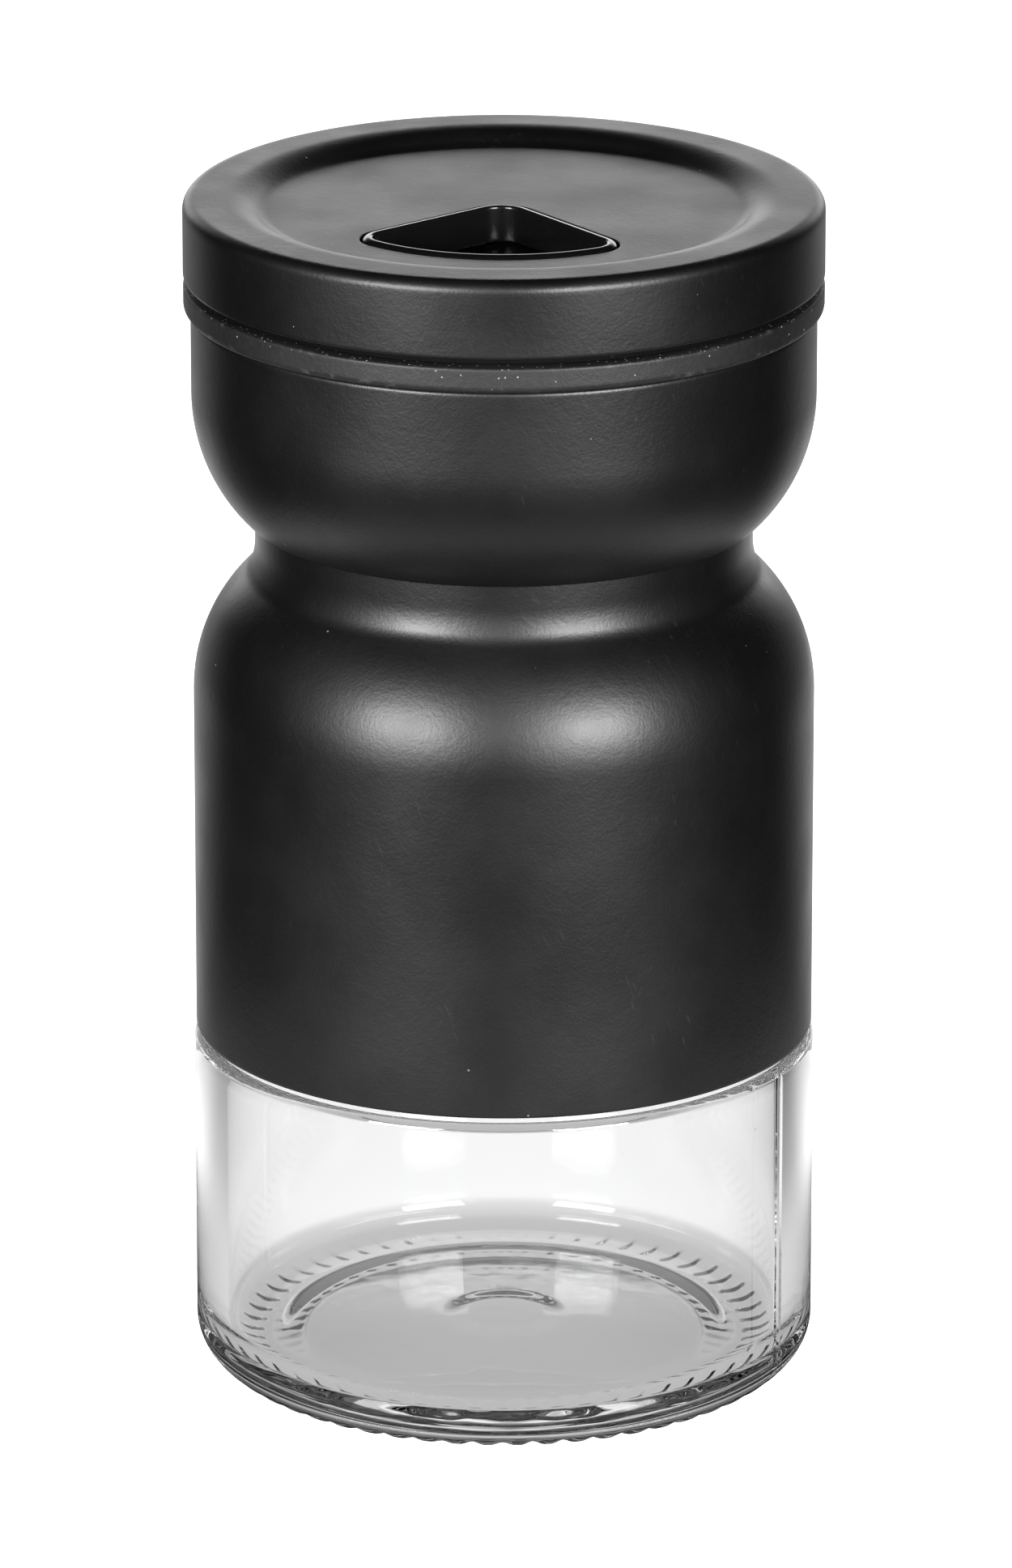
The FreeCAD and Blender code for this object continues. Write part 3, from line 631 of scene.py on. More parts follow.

# %% [markdown]
# ## Pieces
# A finished mesh becomes a piece: it rides on a body, so that it moves with the joints, it stands for its CAD
# node, and it gets its finish. Each point also keeps how far it faces up, because dust settles
# there. Every piece but the glass is lit by the soft box behind the jar.

# %% Pieces
def set_piece(name, mesh, material, body, node):
    """Makes the mesh a piece that rides on its body and stands for its CAD node."""
    piece = bpy.data.objects.new(name, mesh)
    scene.collection.objects.link(piece)
    facing = mesh.attributes.new(UP, "FLOAT", "POINT")
    facing.data.foreach_set("value", [max(v.normal.z, 0.0) for v in mesh.vertices])
    mesh.materials.clear()
    mesh.materials.append(material)
    if material != clear_glass:
        lit_from_behind.objects.link(piece)
    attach(piece, body)
    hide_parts(node)
    print(name, "has", sum(len(f.vertices) - 2 for f in mesh.polygons), "triangles")


# %% [markdown]
# ## Steel sleeve
# The sleeve is thin sheet, drawn in from a straight side over a round shoulder to a narrow neck. The shoulder
# is one large arc outwards, then a fillet of two arcs inwards, a tight one and a wide one, and all three meet
# on common tangents. The inner wall is the same run, one sheet thickness inside, so one function gives both.

# %% Steel sleeve
SHEET = 0.5
CUT_ROUND = 0.1
EDGE_ROUND = 0.16
BODY_RADIUS = 25.4
SLEEVE_LOW = 29.56
SHOULDER_CENTRE = (12.0, 58.2)
SIDE_LEAD = 1.0
NECK_RADIUS = 20.3
NECK_FILLET = 7.0
NECK_TIGHT = 2.5
NECK_LEAD = 0.4
FILLET_CHANGE = 16.0
SLEEVE_TOP = 76.06
SLEEVE_TOP_ROUND = 0.18


def shoulder(centre, swell, neck, fillet, tight, steps=(18, 8, 6)):
    """The arcs of a shoulder from its straight side to its neck: the swell, a tight fillet, a wide one."""
    change = math.radians(FILLET_CHANGE)
    wider = fillet - tight
    reach = neck + fillet - wider * math.cos(change) - centre[0]
    lean = math.degrees(math.acos(reach / (swell + tight)))
    low = (centre[0] + reach, centre[1] + math.sqrt((swell + tight) ** 2 - reach ** 2))
    high = (neck + fillet, low[1] + wider * math.sin(change))
    meet = 180 + FILLET_CHANGE
    return [(centre[0] + swell, centre[1] - SIDE_LEAD), *arc(centre, swell, 0, lean, steps[0]),
            *arc(low, tight, 180 + lean, meet, steps[1])[1:], *arc(high, fillet, meet, 180, steps[2])[1:],
            (neck, high[1] + NECK_LEAD)]


swell = BODY_RADIUS - SHOULDER_CENTRE[0]
outside = shoulder(SHOULDER_CENTRE, swell, NECK_RADIUS, NECK_FILLET, NECK_TIGHT)
inside = shoulder(SHOULDER_CENTRE, swell - SHEET, NECK_RADIUS - SHEET, NECK_FILLET + SHEET,
                  NECK_TIGHT + SHEET)
section = soften([
    (BODY_RADIUS - SHEET, SLEEVE_LOW, CUT_ROUND), (BODY_RADIUS, SLEEVE_LOW, EDGE_ROUND), *outside,
    (NECK_RADIUS, SLEEVE_TOP, SLEEVE_TOP_ROUND), (NECK_RADIUS - SHEET, SLEEVE_TOP, CUT_ROUND),
    *reversed(inside)])
set_piece("steel_sleeve", lathe("steel_sleeve", section), black_paint, "jar", "body_sleeve")

# %% [markdown]
# ## Bowl of the lid
# The bowl is the same sheet, a straight side that curls in under itself. The curl is a little taller than
# wide, so it is part of an ellipse. Its upper edge is rounded over where the collar's ring sits on it, and
# that small round catches a bright line of light.

# %% Bowl of the lid
BOWL_CENTRE = (12.2, 83.40)
BOWL_ROUND = 13.2
BOWL_STRETCH = 0.6
BOWL_LOW = 72.62
BOWL_INNER_LOW = 73.94
BOWL_SIDE = BOWL_CENTRE[1] + 0.8
BOWL_TOP = 90.5
BOWL_EDGE_ROUND = 0.34
CURL_STEPS = 18


def curl(radius, low):
    """The bowl's round from its lower edge up to the straight side."""
    tall = radius + BOWL_STRETCH
    start = math.degrees(math.asin((low - BOWL_CENTRE[1]) / tall))
    return arc(BOWL_CENTRE, radius, start, 0, CURL_STEPS, tall)


outer_curl = curl(BOWL_ROUND, BOWL_LOW)
inner_curl = curl(BOWL_ROUND - SHEET, BOWL_INNER_LOW)
section = soften([
    (*outer_curl[0], EDGE_ROUND), *outer_curl[1:], (BODY_RADIUS, BOWL_SIDE),
    (BODY_RADIUS, BOWL_TOP, BOWL_EDGE_ROUND), (BODY_RADIUS - SHEET, BOWL_TOP, CUT_ROUND),
    (BODY_RADIUS - SHEET, BOWL_SIDE), *reversed(inner_curl[1:]), (*inner_curl[0], EDGE_ROUND)])
set_piece("lid_bowl_steel", lathe("lid_bowl_steel", section), black_paint, "lid", "lid_bowl")

# %% [markdown]
# ## Screw thread
# Jar and collar share a thread with two starts, so a short turn lifts the lid far. The thread rises seven
# millimetres a turn, like the joint that moves the lid. It could be swept as a ribbon along a helix, but then
# glass would hide walls inside glass. This tree instead pushes the points of a plain cylinder out or in, by
# how far each point lies from the helix, and the skin stays one closed surface.

# %% Tree helpers
def polar(tree):
    """The radius, turn and height of each point, in millimetres and turns, and its way outwards."""
    spot = add(tree, "GeometryNodeInputPosition").outputs[0]
    x, y, z = add(tree, "ShaderNodeSeparateXYZ", {0: spot}).outputs
    flat = add(tree, "ShaderNodeCombineXYZ", {0: x, 1: y}).outputs[0]
    radius = calc(tree, "DIVIDE", vector_calc(tree, "LENGTH", flat), MM)
    turns = calc(tree, "DIVIDE", calc(tree, "ARCTAN2", y, x), math.tau)
    return radius, turns, calc(tree, "DIVIDE", z, MM), vector_calc(tree, "NORMALIZE", flat)


def scaled(tree, vector, scale):
    """A vector made longer or shorter."""
    return add(tree, "ShaderNodeVectorMath", {0: vector, "Scale": scale}, operation="SCALE").outputs[0]


def close_tree(tree, give, geometry, material):
    """Ends a tree in plain geometry with its material."""
    real = add(tree, "GeometryNodeRealizeInstances", {0: geometry}).outputs[0]
    done = add(tree, "GeometryNodeSetMaterial", {"Geometry": real, "Material": material}).outputs[0]
    tree.links.new(done, give["Geometry"])


def grow(mesh, tree, **values):
    """Runs a Geometry Nodes tree on a mesh and gives back the plain mesh that it made."""
    carrier = bpy.data.objects.new(mesh.name, mesh)
    scene.collection.objects.link(carrier)
    modifier = carrier.modifiers.new(tree.name, "NODES")
    modifier.node_group = tree
    for item in tree.interface.items_tree:
        key = item.name.replace(" ", "_")
        if item.in_out == "INPUT" and key in values:
            modifier[item.identifier] = values[key]
    graph = bpy.context.evaluated_depsgraph_get()
    made = bpy.data.meshes.new_from_object(carrier.evaluated_get(graph))
    carrier.modifiers.remove(modifier)
    bpy.data.objects.remove(carrier)
    made.name = mesh.name
    return made


print("tree helpers ready")

# %% Screw thread
THREAD_LEAD = 7.0
THREAD_STARTS = 2
THREAD_PITCH = THREAD_LEAD / THREAD_STARTS
THREAD_FADE = 1.6
WALL_TOLERANCE = 0.01

thread, take, give = new_group(
    "screw_thread", "GeometryNodeTree",
    {"Geometry": (GEOMETRY, None), "Root Radius": (FLOAT, 0.0), "Height": (FLOAT, 0.0), "Low": (FLOAT, 0.0),
     "High": (FLOAT, 0.0), "Crest": (FLOAT, 0.0), "Flank": (FLOAT, 0.0), "Phase": (FLOAT, 0.0),
     "Material": (MATERIAL, None)},
    {"Geometry": GEOMETRY})
radius, turns, height, outward = polar(thread)
climb = calc(thread, "SUBTRACT", calc(thread, "DIVIDE", height, THREAD_PITCH),
             calc(thread, "MULTIPLY", turns, THREAD_STARTS))
along = calc(thread, "FRACT", calc(thread, "ADD", climb, take["Phase"]))
off = calc(thread, "MULTIPLY", calc(thread, "ABSOLUTE", calc(thread, "SUBTRACT", along, 0.5)), THREAD_PITCH)
ridge = fade(thread, off, take["Crest"], take["Flank"], 1.0, 0.0)
start = fade(thread, height, take["Low"], calc(thread, "ADD", take["Low"], THREAD_FADE))
end = fade(thread, height, calc(thread, "SUBTRACT", take["High"], THREAD_FADE), take["High"], 1.0, 0.0)
shift = scaled(thread, outward, product(thread, ridge, start, end, take["Height"], MM))
from_wall = calc(thread, "ABSOLUTE", calc(thread, "SUBTRACT", radius, take["Root Radius"]))
on_wall = calc(thread, "LESS_THAN", from_wall, WALL_TOLERANCE)
moved = add(thread, "GeometryNodeSetPosition",
            {"Geometry": take["Geometry"], "Selection": on_wall, "Offset": shift}).outputs[0]
close_tree(thread, give, moved, take["Material"])
print("tree:", thread.name)

# %% [markdown]
# ## Knurled base
# The ring that the jar stands on is knurled, so that the hot glass cools evenly on the belt. A boolean cut
# for each notch would leave slivers in clear glass. The tree presses the points of the ring and heel in along
# their own normals instead. Each knurl is a broad bump with a round valley on each side. The depth is uneven,
# as in real glass: it changes a little from knurl to knurl by chance, and slowly round the jar by wear.

# %% Knurled base
KNURL_CROWN = 0.2
KNURL_RUN_IN = 0.7

knurl, take, give = new_group(
    "base_knurls", "GeometryNodeTree",
    {"Geometry": (GEOMETRY, None), "Count": (FLOAT, 0.0), "Depth": (FLOAT, 0.0), "Wear": (FLOAT, 0.0),
     "Spread": (FLOAT, 0.0), "Inner Radius": (FLOAT, 0.0), "Low": (FLOAT, 0.0), "High": (FLOAT, 0.0),
     "Material": (MATERIAL, None)},
    {"Geometry": GEOMETRY})
radius, turns, height, _ = polar(knurl)
phase = calc(knurl, "FRACT", calc(knurl, "MULTIPLY_ADD", turns, take["Count"], 0.5))
off = calc(knurl, "MULTIPLY", calc(knurl, "ABSOLUTE", calc(knurl, "SUBTRACT", phase, 0.5)), 2.0)
valley = fade(knurl, off, KNURL_CROWN, 1.0)
number = calc(knurl, "FLOOR", calc(knurl, "MULTIPLY_ADD", turns, take["Count"], 1.0))
number = calc(knurl, "FLOORED_MODULO", number, take["Count"])
chance = add(knurl, "ShaderNodeTexWhiteNoise", {"W": number}, noise_dimensions="1D").outputs["Value"]
by_chance = calc(knurl, "SUBTRACT", 1.0, calc(knurl, "MULTIPLY", chance, take["Spread"]))
round_about = calc(knurl, "COSINE", calc(knurl, "MULTIPLY", turns, math.tau))
worn = calc(knurl, "MULTIPLY", take["Wear"], calc(knurl, "MULTIPLY_ADD", round_about, -0.5, 0.5))
by_wear = calc(knurl, "SUBTRACT", 1.0, worn)
full = calc(knurl, "ADD", take["Inner Radius"], KNURL_RUN_IN)
on_ring = product(knurl, fade(knurl, radius, take["Inner Radius"], full),
                  fade(knurl, height, take["Low"], take["High"], 1.0, 0.0))
press = product(knurl, valley, take["Depth"], by_chance, by_wear, on_ring, -MM)
facing = add(knurl, "GeometryNodeInputNormal").outputs[0]
moved = add(knurl, "GeometryNodeSetPosition",
            {"Geometry": take["Geometry"], "Offset": scaled(knurl, facing, press)}).outputs[0]
close_tree(knurl, give, moved, take["Material"])
print("tree:", knurl.name)

# %% [markdown]
# ## Base of the glass
# The jar is one closed skin. Its section starts on the axis, under the base. The base is pushed up in the
# middle, with a soft dimple, and falls to a foot at its rim. Then come the ring that the jar stands on and
# the heel, part of an ellipse. The heel is thick, and most of the glass's sparkle comes from light bending
# there.

# %% Base of the glass
GLASS_RADIUS = 25.55
PUSH_UP = 2.0
DIMPLE_DEPTH = 0.2
DIMPLE_RUN = (3.0, 5.6)
HOLLOW_EDGE = 18.9
HOLLOW_EDGE_HEIGHT = 0.65
FOOT_RUN = (16.0, 19.6)
HOLLOW_RADII = [0, 1.5, 2.8, *np.linspace(*DIMPLE_RUN, 9), *np.linspace(6.5, 15.3, 8),
                *np.linspace(*FOOT_RUN, 13)]
HEEL_WIDTH = 4.5
HEEL_HEIGHT = 3.9
HEEL_STEPS = 20
RING_OUTER = GLASS_RADIUS - HEEL_WIDTH
RING_POINTS = 7


def ease(r, run):
    """A soft fall from one to nothing between two radii."""
    t = min(max((r - run[0]) / (run[1] - run[0]), 0.0), 1.0)
    return 1 - t * t * (3 - 2 * t)


def base_hollow(r):
    """The height of the base's hollow, with its dimple in the middle and its foot at the rim."""
    hollow = PUSH_UP - (PUSH_UP - HOLLOW_EDGE_HEIGHT) * (r / HOLLOW_EDGE) ** 2
    return (hollow + DIMPLE_DEPTH * ease(r, DIMPLE_RUN)) * ease(r, FOOT_RUN)


underside = [(r, base_hollow(r)) for r in HOLLOW_RADII]
ring = [(r, 0.0) for r in np.linspace(FOOT_RUN[1], RING_OUTER, RING_POINTS)[1:-1]]
heel = arc((RING_OUTER, HEEL_HEIGHT), HEEL_WIDTH, -90, 0, HEEL_STEPS, HEEL_HEIGHT)
print("hollow of the base, mm:", round(base_hollow(0), 2))

# %% [markdown]
# ## Walls of the glass
# From the heel the section goes up the bare band to the ledge that the sleeve stands on, up the waist inside
# the sleeve, over the neck and the threaded finish, round the mouth, and back down the bore to the floor
# inside. What the sleeve hides gets fewer points, which keeps the mesh light.

# %% Outside of the glass
BAND_HEIGHTS = (4.2, 27.4)
LEDGE = 29.0
LEDGE_ROUND = 0.75
LEDGE_STEPS = 10
GLASS_WAIST = 24.75
GLASS_SHOULDER = (12.0, 57.9)
GLASS_FILLET = 3.6
GLASS_NECK = 19.65
NECK_STEP = (76.4, 77.7)
NECK_STEP_ROUND = 0.5
FINISH_ROOT = 18.6
FINISH_HEIGHTS = (78.2, 90.6)
THREAD_ROWS = 38
HIDDEN_STEPS = (9, 4, 2)

band = [(GLASS_RADIUS, z) for z in BAND_HEIGHTS]
ledge = [*arc((GLASS_RADIUS - LEDGE_ROUND, LEDGE - LEDGE_ROUND), LEDGE_ROUND, 0, 90, LEDGE_STEPS),
         (GLASS_WAIST, LEDGE)]
waist = shoulder(GLASS_SHOULDER, GLASS_WAIST - GLASS_SHOULDER[0], GLASS_NECK, GLASS_FILLET, GLASS_FILLET,
                 HIDDEN_STEPS)
neck = [(GLASS_NECK, NECK_STEP[0], NECK_STEP_ROUND), (FINISH_ROOT, NECK_STEP[1], NECK_STEP_ROUND)]
threaded = [(FINISH_ROOT, z) for z in np.linspace(*FINISH_HEIGHTS, THREAD_ROWS)]
print("ledge for the sleeve at, mm:", LEDGE)

# %% Inside of the glass
MOUTH = 91.8
MOUTH_ROUND = 0.8
BORE = 16.2
BORE_FILLET = 4.0
GLASS_INNER = 22.95
INNER_HEIGHTS = (30.0, 6.6)
WELL_EDGE = 20.35
WELL_LOW = 3.2
WELL_CROWN = 1.1
WELL_ROUND = 2.6
WELL_ROUND_STEPS = 14
WELL_POINTS = 12

mouth = [(FINISH_ROOT, MOUTH, MOUTH_ROUND), (BORE, MOUTH, MOUTH_ROUND)]
bore = shoulder(GLASS_SHOULDER, GLASS_INNER - GLASS_SHOULDER[0], BORE, BORE_FILLET, BORE_FILLET, HIDDEN_STEPS)
inner_wall = [(GLASS_INNER, z) for z in INNER_HEIGHTS]
well_lean = math.degrees(math.atan(2 * WELL_CROWN / WELL_EDGE))
inner_heel = arc((WELL_EDGE, WELL_LOW + WELL_ROUND), WELL_ROUND, 0, -90 - well_lean, WELL_ROUND_STEPS)
well_radii = np.linspace(inner_heel[-1][0], 0, WELL_POINTS)[1:]
well = [(r, WELL_LOW + WELL_CROWN * (1 - (r / WELL_EDGE) ** 2)) for r in well_radii]
glass_section = soften([*underside, *ring, *heel, *band, *ledge, *waist, *neck, *threaded, *mouth,
                        *reversed(bore), *inner_wall, *inner_heel, *well], closed=False)
print("glass section points:", len(glass_section))

# %% [markdown]
# ## Skin of the glass
# Two fine ridges stand on the outside where the halves of the mould met, so the loops get extra points there.
# Elsewhere each knurl has the same number of points, so every valley has one at its bottom. The two trees
# then press the knurls in and push the thread out.

# %% Skin of the glass
KNURL_COUNT = 58
KNURL_STEPS = 8
SEAMS = {68.0: 0.07, 248.0: 0.03}
SEAM_HALF_WIDTH = 0.42
SEAM_FLANK = 0.15
SEAM_PLACES = np.linspace(-0.72, 0.72, 13)
SEAM_LOW = HEEL_HEIGHT - 1.5
SEAM_RADIUS = GLASS_RADIUS - 0.4

angles = [math.tau * k / (KNURL_COUNT * KNURL_STEPS) for k in range(KNURL_COUNT * KNURL_STEPS)]
seams = {math.radians(azimuth - 90) % math.tau: rise for azimuth, rise in SEAMS.items()}
angles += [seam + place / GLASS_RADIUS for seam in seams for place in SEAM_PLACES]
angles = np.array(sorted(angles))
loops = []
for r, z, _ in glass_section:
    reach = np.full(len(angles), r, float)
    if r > SEAM_RADIUS and SEAM_LOW < z < LEDGE:
        for seam, rise in seams.items():
            gap = abs((angles - seam + math.pi) % math.tau - math.pi) * GLASS_RADIUS
            reach += rise * (1 - np.tanh((gap - SEAM_HALF_WIDTH) / SEAM_FLANK)) / 2
    loops.append(turned_loop(reach, angles, z))
mesh = skin("glass_jar_clear", loops, [mark for *_, mark in glass_section], False)
mesh = grow(mesh, knurl, Count=float(KNURL_COUNT), Depth=0.42, Wear=0.6, Spread=0.35, Inner_Radius=19.7,
            Low=0.5, High=1.5, Material=clear_glass)
mesh = grow(mesh, thread, Root_Radius=FINISH_ROOT, Height=GLASS_NECK - FINISH_ROOT, Low=78.4, High=90.4,
            Crest=0.4, Flank=0.95, Phase=0.0, Material=clear_glass)
set_piece("glass_jar_clear", mesh, clear_glass, "jar", "glass_jar")

# %% [markdown]
# ## Screw collar
# The collar is one moulding: a threaded skirt inside, a wall pressed into the bowl, the matt ring that
# shows between bowl and dial, a deck for the sifter, and a spigot whose lip holds the dial. Its thread
# fills the gaps of the jar's thread, half a pitch away.

# %% Screw collar
CRISP = 0.1
FINE = 0.15
SMALL = 0.2
SOFT = 0.3
BROAD = 0.4
SKIRT_INNER = 19.95
SKIRT_OUTER = 21.35
SKIRT_LOW = 77.56
SKIRT_HEIGHTS = (92.3, 78.3)
GROOVE_TOP = 91.2
WALL_INNER = 23.45
WALL_OUTER = 24.85
WALL_LOW = 84.3
WALL_SEAT_ROUND = 0.05
RING_RADIUS = 25.98
RING_LOW_ROUND = 0.5
RING_TOP = 92.6
SPIGOT_NECK = 23.65
SPIGOT_LIP = 24.35
SPIGOT_INNER = 23.05
LIP_CHAMFER = 0.3
DECK_HOLE = 16.4
DECK_UNDER = 93.0
DECK_TOP = 94.4
SIFTER_TOP = 95.6

skirt = [(SKIRT_INNER, SKIRT_LOW, SMALL), (SKIRT_OUTER, SKIRT_LOW, SOFT), (SKIRT_OUTER, GROOVE_TOP, BROAD)]
wall = [(WALL_INNER, GROOVE_TOP, BROAD), (WALL_INNER, WALL_LOW, SMALL), (WALL_OUTER, WALL_LOW, BROAD),
        (WALL_OUTER, BOWL_TOP, WALL_SEAT_ROUND)]
ring = [(RING_RADIUS, BOWL_TOP, RING_LOW_ROUND), (RING_RADIUS, RING_TOP, SMALL),
        (SPIGOT_NECK, RING_TOP, SMALL)]
spigot = [(SPIGOT_NECK, DECK_TOP, CRISP), (SPIGOT_LIP, DECK_TOP, CRISP),
          (SPIGOT_LIP, SIFTER_TOP - LIP_CHAMFER, CRISP), (SPIGOT_LIP - LIP_CHAMFER, SIFTER_TOP, CRISP),
          (SPIGOT_INNER, SIFTER_TOP, FINE), (SPIGOT_INNER, DECK_TOP, CRISP)]
deck = [(DECK_HOLE, DECK_TOP, SOFT), (DECK_HOLE, DECK_UNDER, SOFT), (SKIRT_INNER, DECK_UNDER, SOFT)]
threaded = [(SKIRT_INNER, z) for z in np.linspace(*SKIRT_HEIGHTS, THREAD_ROWS)]
mesh = lathe("screw_collar_moulding", soften([*skirt, *wall, *ring, *spigot, *deck, *threaded]))
mesh = grow(mesh, thread, Root_Radius=SKIRT_INNER, Height=-1.0, Low=78.6, High=91.4, Crest=0.35, Flank=0.85,
            Phase=0.5, Material=collar_plastic)
set_piece("screw_collar_moulding", mesh, collar_plastic, "lid", "screw_collar")

# %% [markdown]
# ## Soft seal
# A flat silicone ring lies in the collar and is squeezed between its deck and the mouth of the jar. It is
# moulded with softly rounded edges, so a turned section with four rounded corners is all it needs.

# %% Soft seal
SEAL_INNER = 16.6
SEAL_OUTER = 19.55
SEAL_AROUND = 160

section = soften([(SEAL_INNER, MOUTH, SOFT), (SEAL_OUTER, MOUTH, SOFT), (SEAL_OUTER, DECK_UNDER, SOFT),
                  (SEAL_INNER, DECK_UNDER, SOFT)])
mesh = lathe("soft_seal", section, SEAL_AROUND)
set_piece("soft_seal", mesh, seal_silicone, "seal", "jar_seal")

# %% [markdown]
# ## Window outline
# The dial's window is a sector with rounded corners. Cover and insert both follow it, each a little
# further in. The outline is worked out once for any inset. Every loop of these two pieces is then read
# along the same rays from a point inside the window, so a circle and the sector have matching points and
# can be skinned without triangles.

# %% Window outline
WINDOW_RADIUS = 15.5
WINDOW_SETBACK = 2.3
WINDOW_HALF_ANGLE = math.radians(42.7)
WINDOW_APEX = 2.95
WINDOW_CORNER = 2.8
CORNER_STEPS = 60
FRONT_STEPS = 160


def sector_points(inset):
    """The window's outline in millimetres, towards -Y, moved inwards by the inset."""
    side, ahead = math.sin(WINDOW_HALF_ANGLE), math.cos(WINDOW_HALF_ANGLE)
    rim, corner, apex = WINDOW_RADIUS - inset, WINDOW_CORNER - inset, WINDOW_APEX - inset
    behind = WINDOW_SETBACK - inset / side
    run = behind * ahead + math.sqrt((rim - corner) ** 2 - (corner - behind * side) ** 2)
    centre = (run * side - corner * ahead, behind - run * ahead - corner * side)
    lean = math.degrees(WINDOW_HALF_ANGLE)
    aim = math.degrees(math.atan2(centre[1], centre[0]))
    right = arc(centre, corner, aim, lean, CORNER_STEPS)
    left = [(-x, y) for x, y in reversed(right)]
    top = arc((0, behind - apex / side), apex, lean, 180 - lean, CORNER_STEPS)
    front = arc((0, 0), rim, -180 - aim, aim, FRONT_STEPS)
    right_side = np.linspace(right[-1], top[0], CORNER_STEPS)
    left_side = right_side[::-1] * (-1, 1)
    return np.concatenate([right, right_side, top, left_side, left, front])


print("window, mm:", np.round(np.ptp(sector_points(0.0), axis=0), 2))

# %% Rays from the window
RAY_COUNT = 288
RAY_HUB = np.array([0.0, -8.0])
RAYS = np.arange(RAY_COUNT) * math.tau / RAY_COUNT
RAY_WAYS = np.stack([np.cos(RAYS), np.sin(RAYS)], 1)


def ray_loop(reach, z):
    """A loop with one point on each ray."""
    return np.column_stack([RAY_HUB + RAY_WAYS * reach[:, None], np.full(RAY_COUNT, z)])


def sector_loop(inset, z):
    """The window's outline, read along the rays."""
    outline = sector_points(inset) - RAY_HUB
    spin = np.arctan2(outline[:, 1], outline[:, 0]) % math.tau
    order = np.argsort(spin)
    return ray_loop(np.interp(RAYS, spin[order], np.hypot(*outline.T)[order], period=math.tau), z)


def ring_loop(radius, z):
    """A circle about the jar's axis, read along the rays."""
    along = RAY_WAYS @ RAY_HUB
    return ray_loop(-along + np.sqrt(along ** 2 - RAY_HUB @ RAY_HUB + radius ** 2), z)


def dial_skin(name, section, window):
    """A closed mesh through circles from a section, then through the window's outline."""
    loops = [ring_loop(r, z) for r, z, _ in section] + [sector_loop(inset, z) for inset, z, _ in window]
    return skin(name, loops, [mark for *_, mark in [*section, *window]], True)


print("rays:", RAY_COUNT)

# %% [markdown]
# ## Dial cover
# The cover is pressed sheet: a skirt, a round corner, a raised rim, and a dish that falls in a soft S of
# two arcs, the lower one tighter. The window is cut from the dish's floor. The section runs from the dish
# under the sheet, round the skirt, to the dish on top, and sector loops close it round the window's edge.

# %% Sheet of the dial cover
COVER_RADIUS = 26.0
COVER_EDGE = 93.3
COVER_EDGE_ROUND = 0.12
COVER_TOP = 99.7
COVER_CORNER = 1.0
INNER_CORNER_STEPS = 6
OUTER_CORNER_STEPS = 10
DISH_EDGE = 22.4
DISH_SLOPE = 3.3
DISH_DEPTH = 1.1
DISH_STEPS = 10
LOW_BEND_SHARE = 0.3
FLAT_LEAD = 0.3
DISH_RADIUS = DISH_EDGE - DISH_SLOPE
DISH_HEIGHT = COVER_TOP - DISH_DEPTH
DISH_UNDER = DISH_HEIGHT - SHEET


def dish_run(offset):
    """The S of the dish from floor to rim, on the sheet's top or one thickness below it."""
    bends = (DISH_SLOPE ** 2 + DISH_DEPTH ** 2) / (2 * DISH_DEPTH)
    lean = math.degrees(math.asin(DISH_SLOPE / bends))
    low_bend = bends * LOW_BEND_SHARE
    high_bend = bends - low_bend
    low = arc((DISH_RADIUS, DISH_HEIGHT + low_bend), low_bend + offset, -90, lean - 90, DISH_STEPS)
    high = arc((DISH_EDGE, COVER_TOP - high_bend), high_bend - offset, 90 + lean, 90, DISH_STEPS)
    return low + high[1:]


corner_at = (COVER_RADIUS - COVER_CORNER, COVER_TOP - COVER_CORNER)
under = [*dish_run(SHEET), *arc(corner_at, COVER_CORNER - SHEET, 90, 0, INNER_CORNER_STEPS),
         (COVER_RADIUS - SHEET, corner_at[1] - FLAT_LEAD)]
skirt = [(COVER_RADIUS - SHEET, COVER_EDGE, COVER_EDGE_ROUND), (COVER_RADIUS, COVER_EDGE, SMALL)]
over = [(COVER_RADIUS, corner_at[1] - FLAT_LEAD), *arc(corner_at, COVER_CORNER, 0, 90, OUTER_CORNER_STEPS),
        (corner_at[0] - FLAT_LEAD, COVER_TOP), (DISH_EDGE + FLAT_LEAD, COVER_TOP), *reversed(dish_run(0.0)),
        (DISH_RADIUS - FLAT_LEAD, DISH_HEIGHT)]
section = soften([*under, *skirt, *over], closed=False)
print("cover section points:", len(section))

# %% Window in the dial cover
WINDOW_ROUND = 0.12
WINDOW_ROUND_STEPS = 4
WINDOW_LEADS = (-1.2, -WINDOW_ROUND - 0.1)


def marked(points, mark):
    """Points of a section with the same edge mark."""
    return [(*point, mark) for point in points]


top_round = arc((-WINDOW_ROUND, DISH_HEIGHT - WINDOW_ROUND), WINDOW_ROUND, 90, 0, WINDOW_ROUND_STEPS)
low_round = arc((-WINDOW_ROUND, DISH_UNDER + WINDOW_ROUND), WINDOW_ROUND, 0, -90, WINDOW_ROUND_STEPS)[1:]
window = [*marked([(lead, DISH_HEIGHT) for lead in WINDOW_LEADS], 0.0), *marked(top_round + low_round, 1.0),
          *marked([(lead, DISH_UNDER) for lead in reversed(WINDOW_LEADS)], 0.0)]
mesh = dial_skin("dial_cover_steel", section, window)
set_piece("dial_cover_steel", mesh, black_paint, "dial", "dial_cover")

# %% [markdown]
# ## Dial insert
# The insert is the plastic body of the dial. A chute rises through the cover's window and stands a
# fraction proud of it, a ring carries the dish, and the outer wall snaps over the collar's spigot. The
# chute's lip has a broad round outside and a fine one inside, which draws two lines of light.

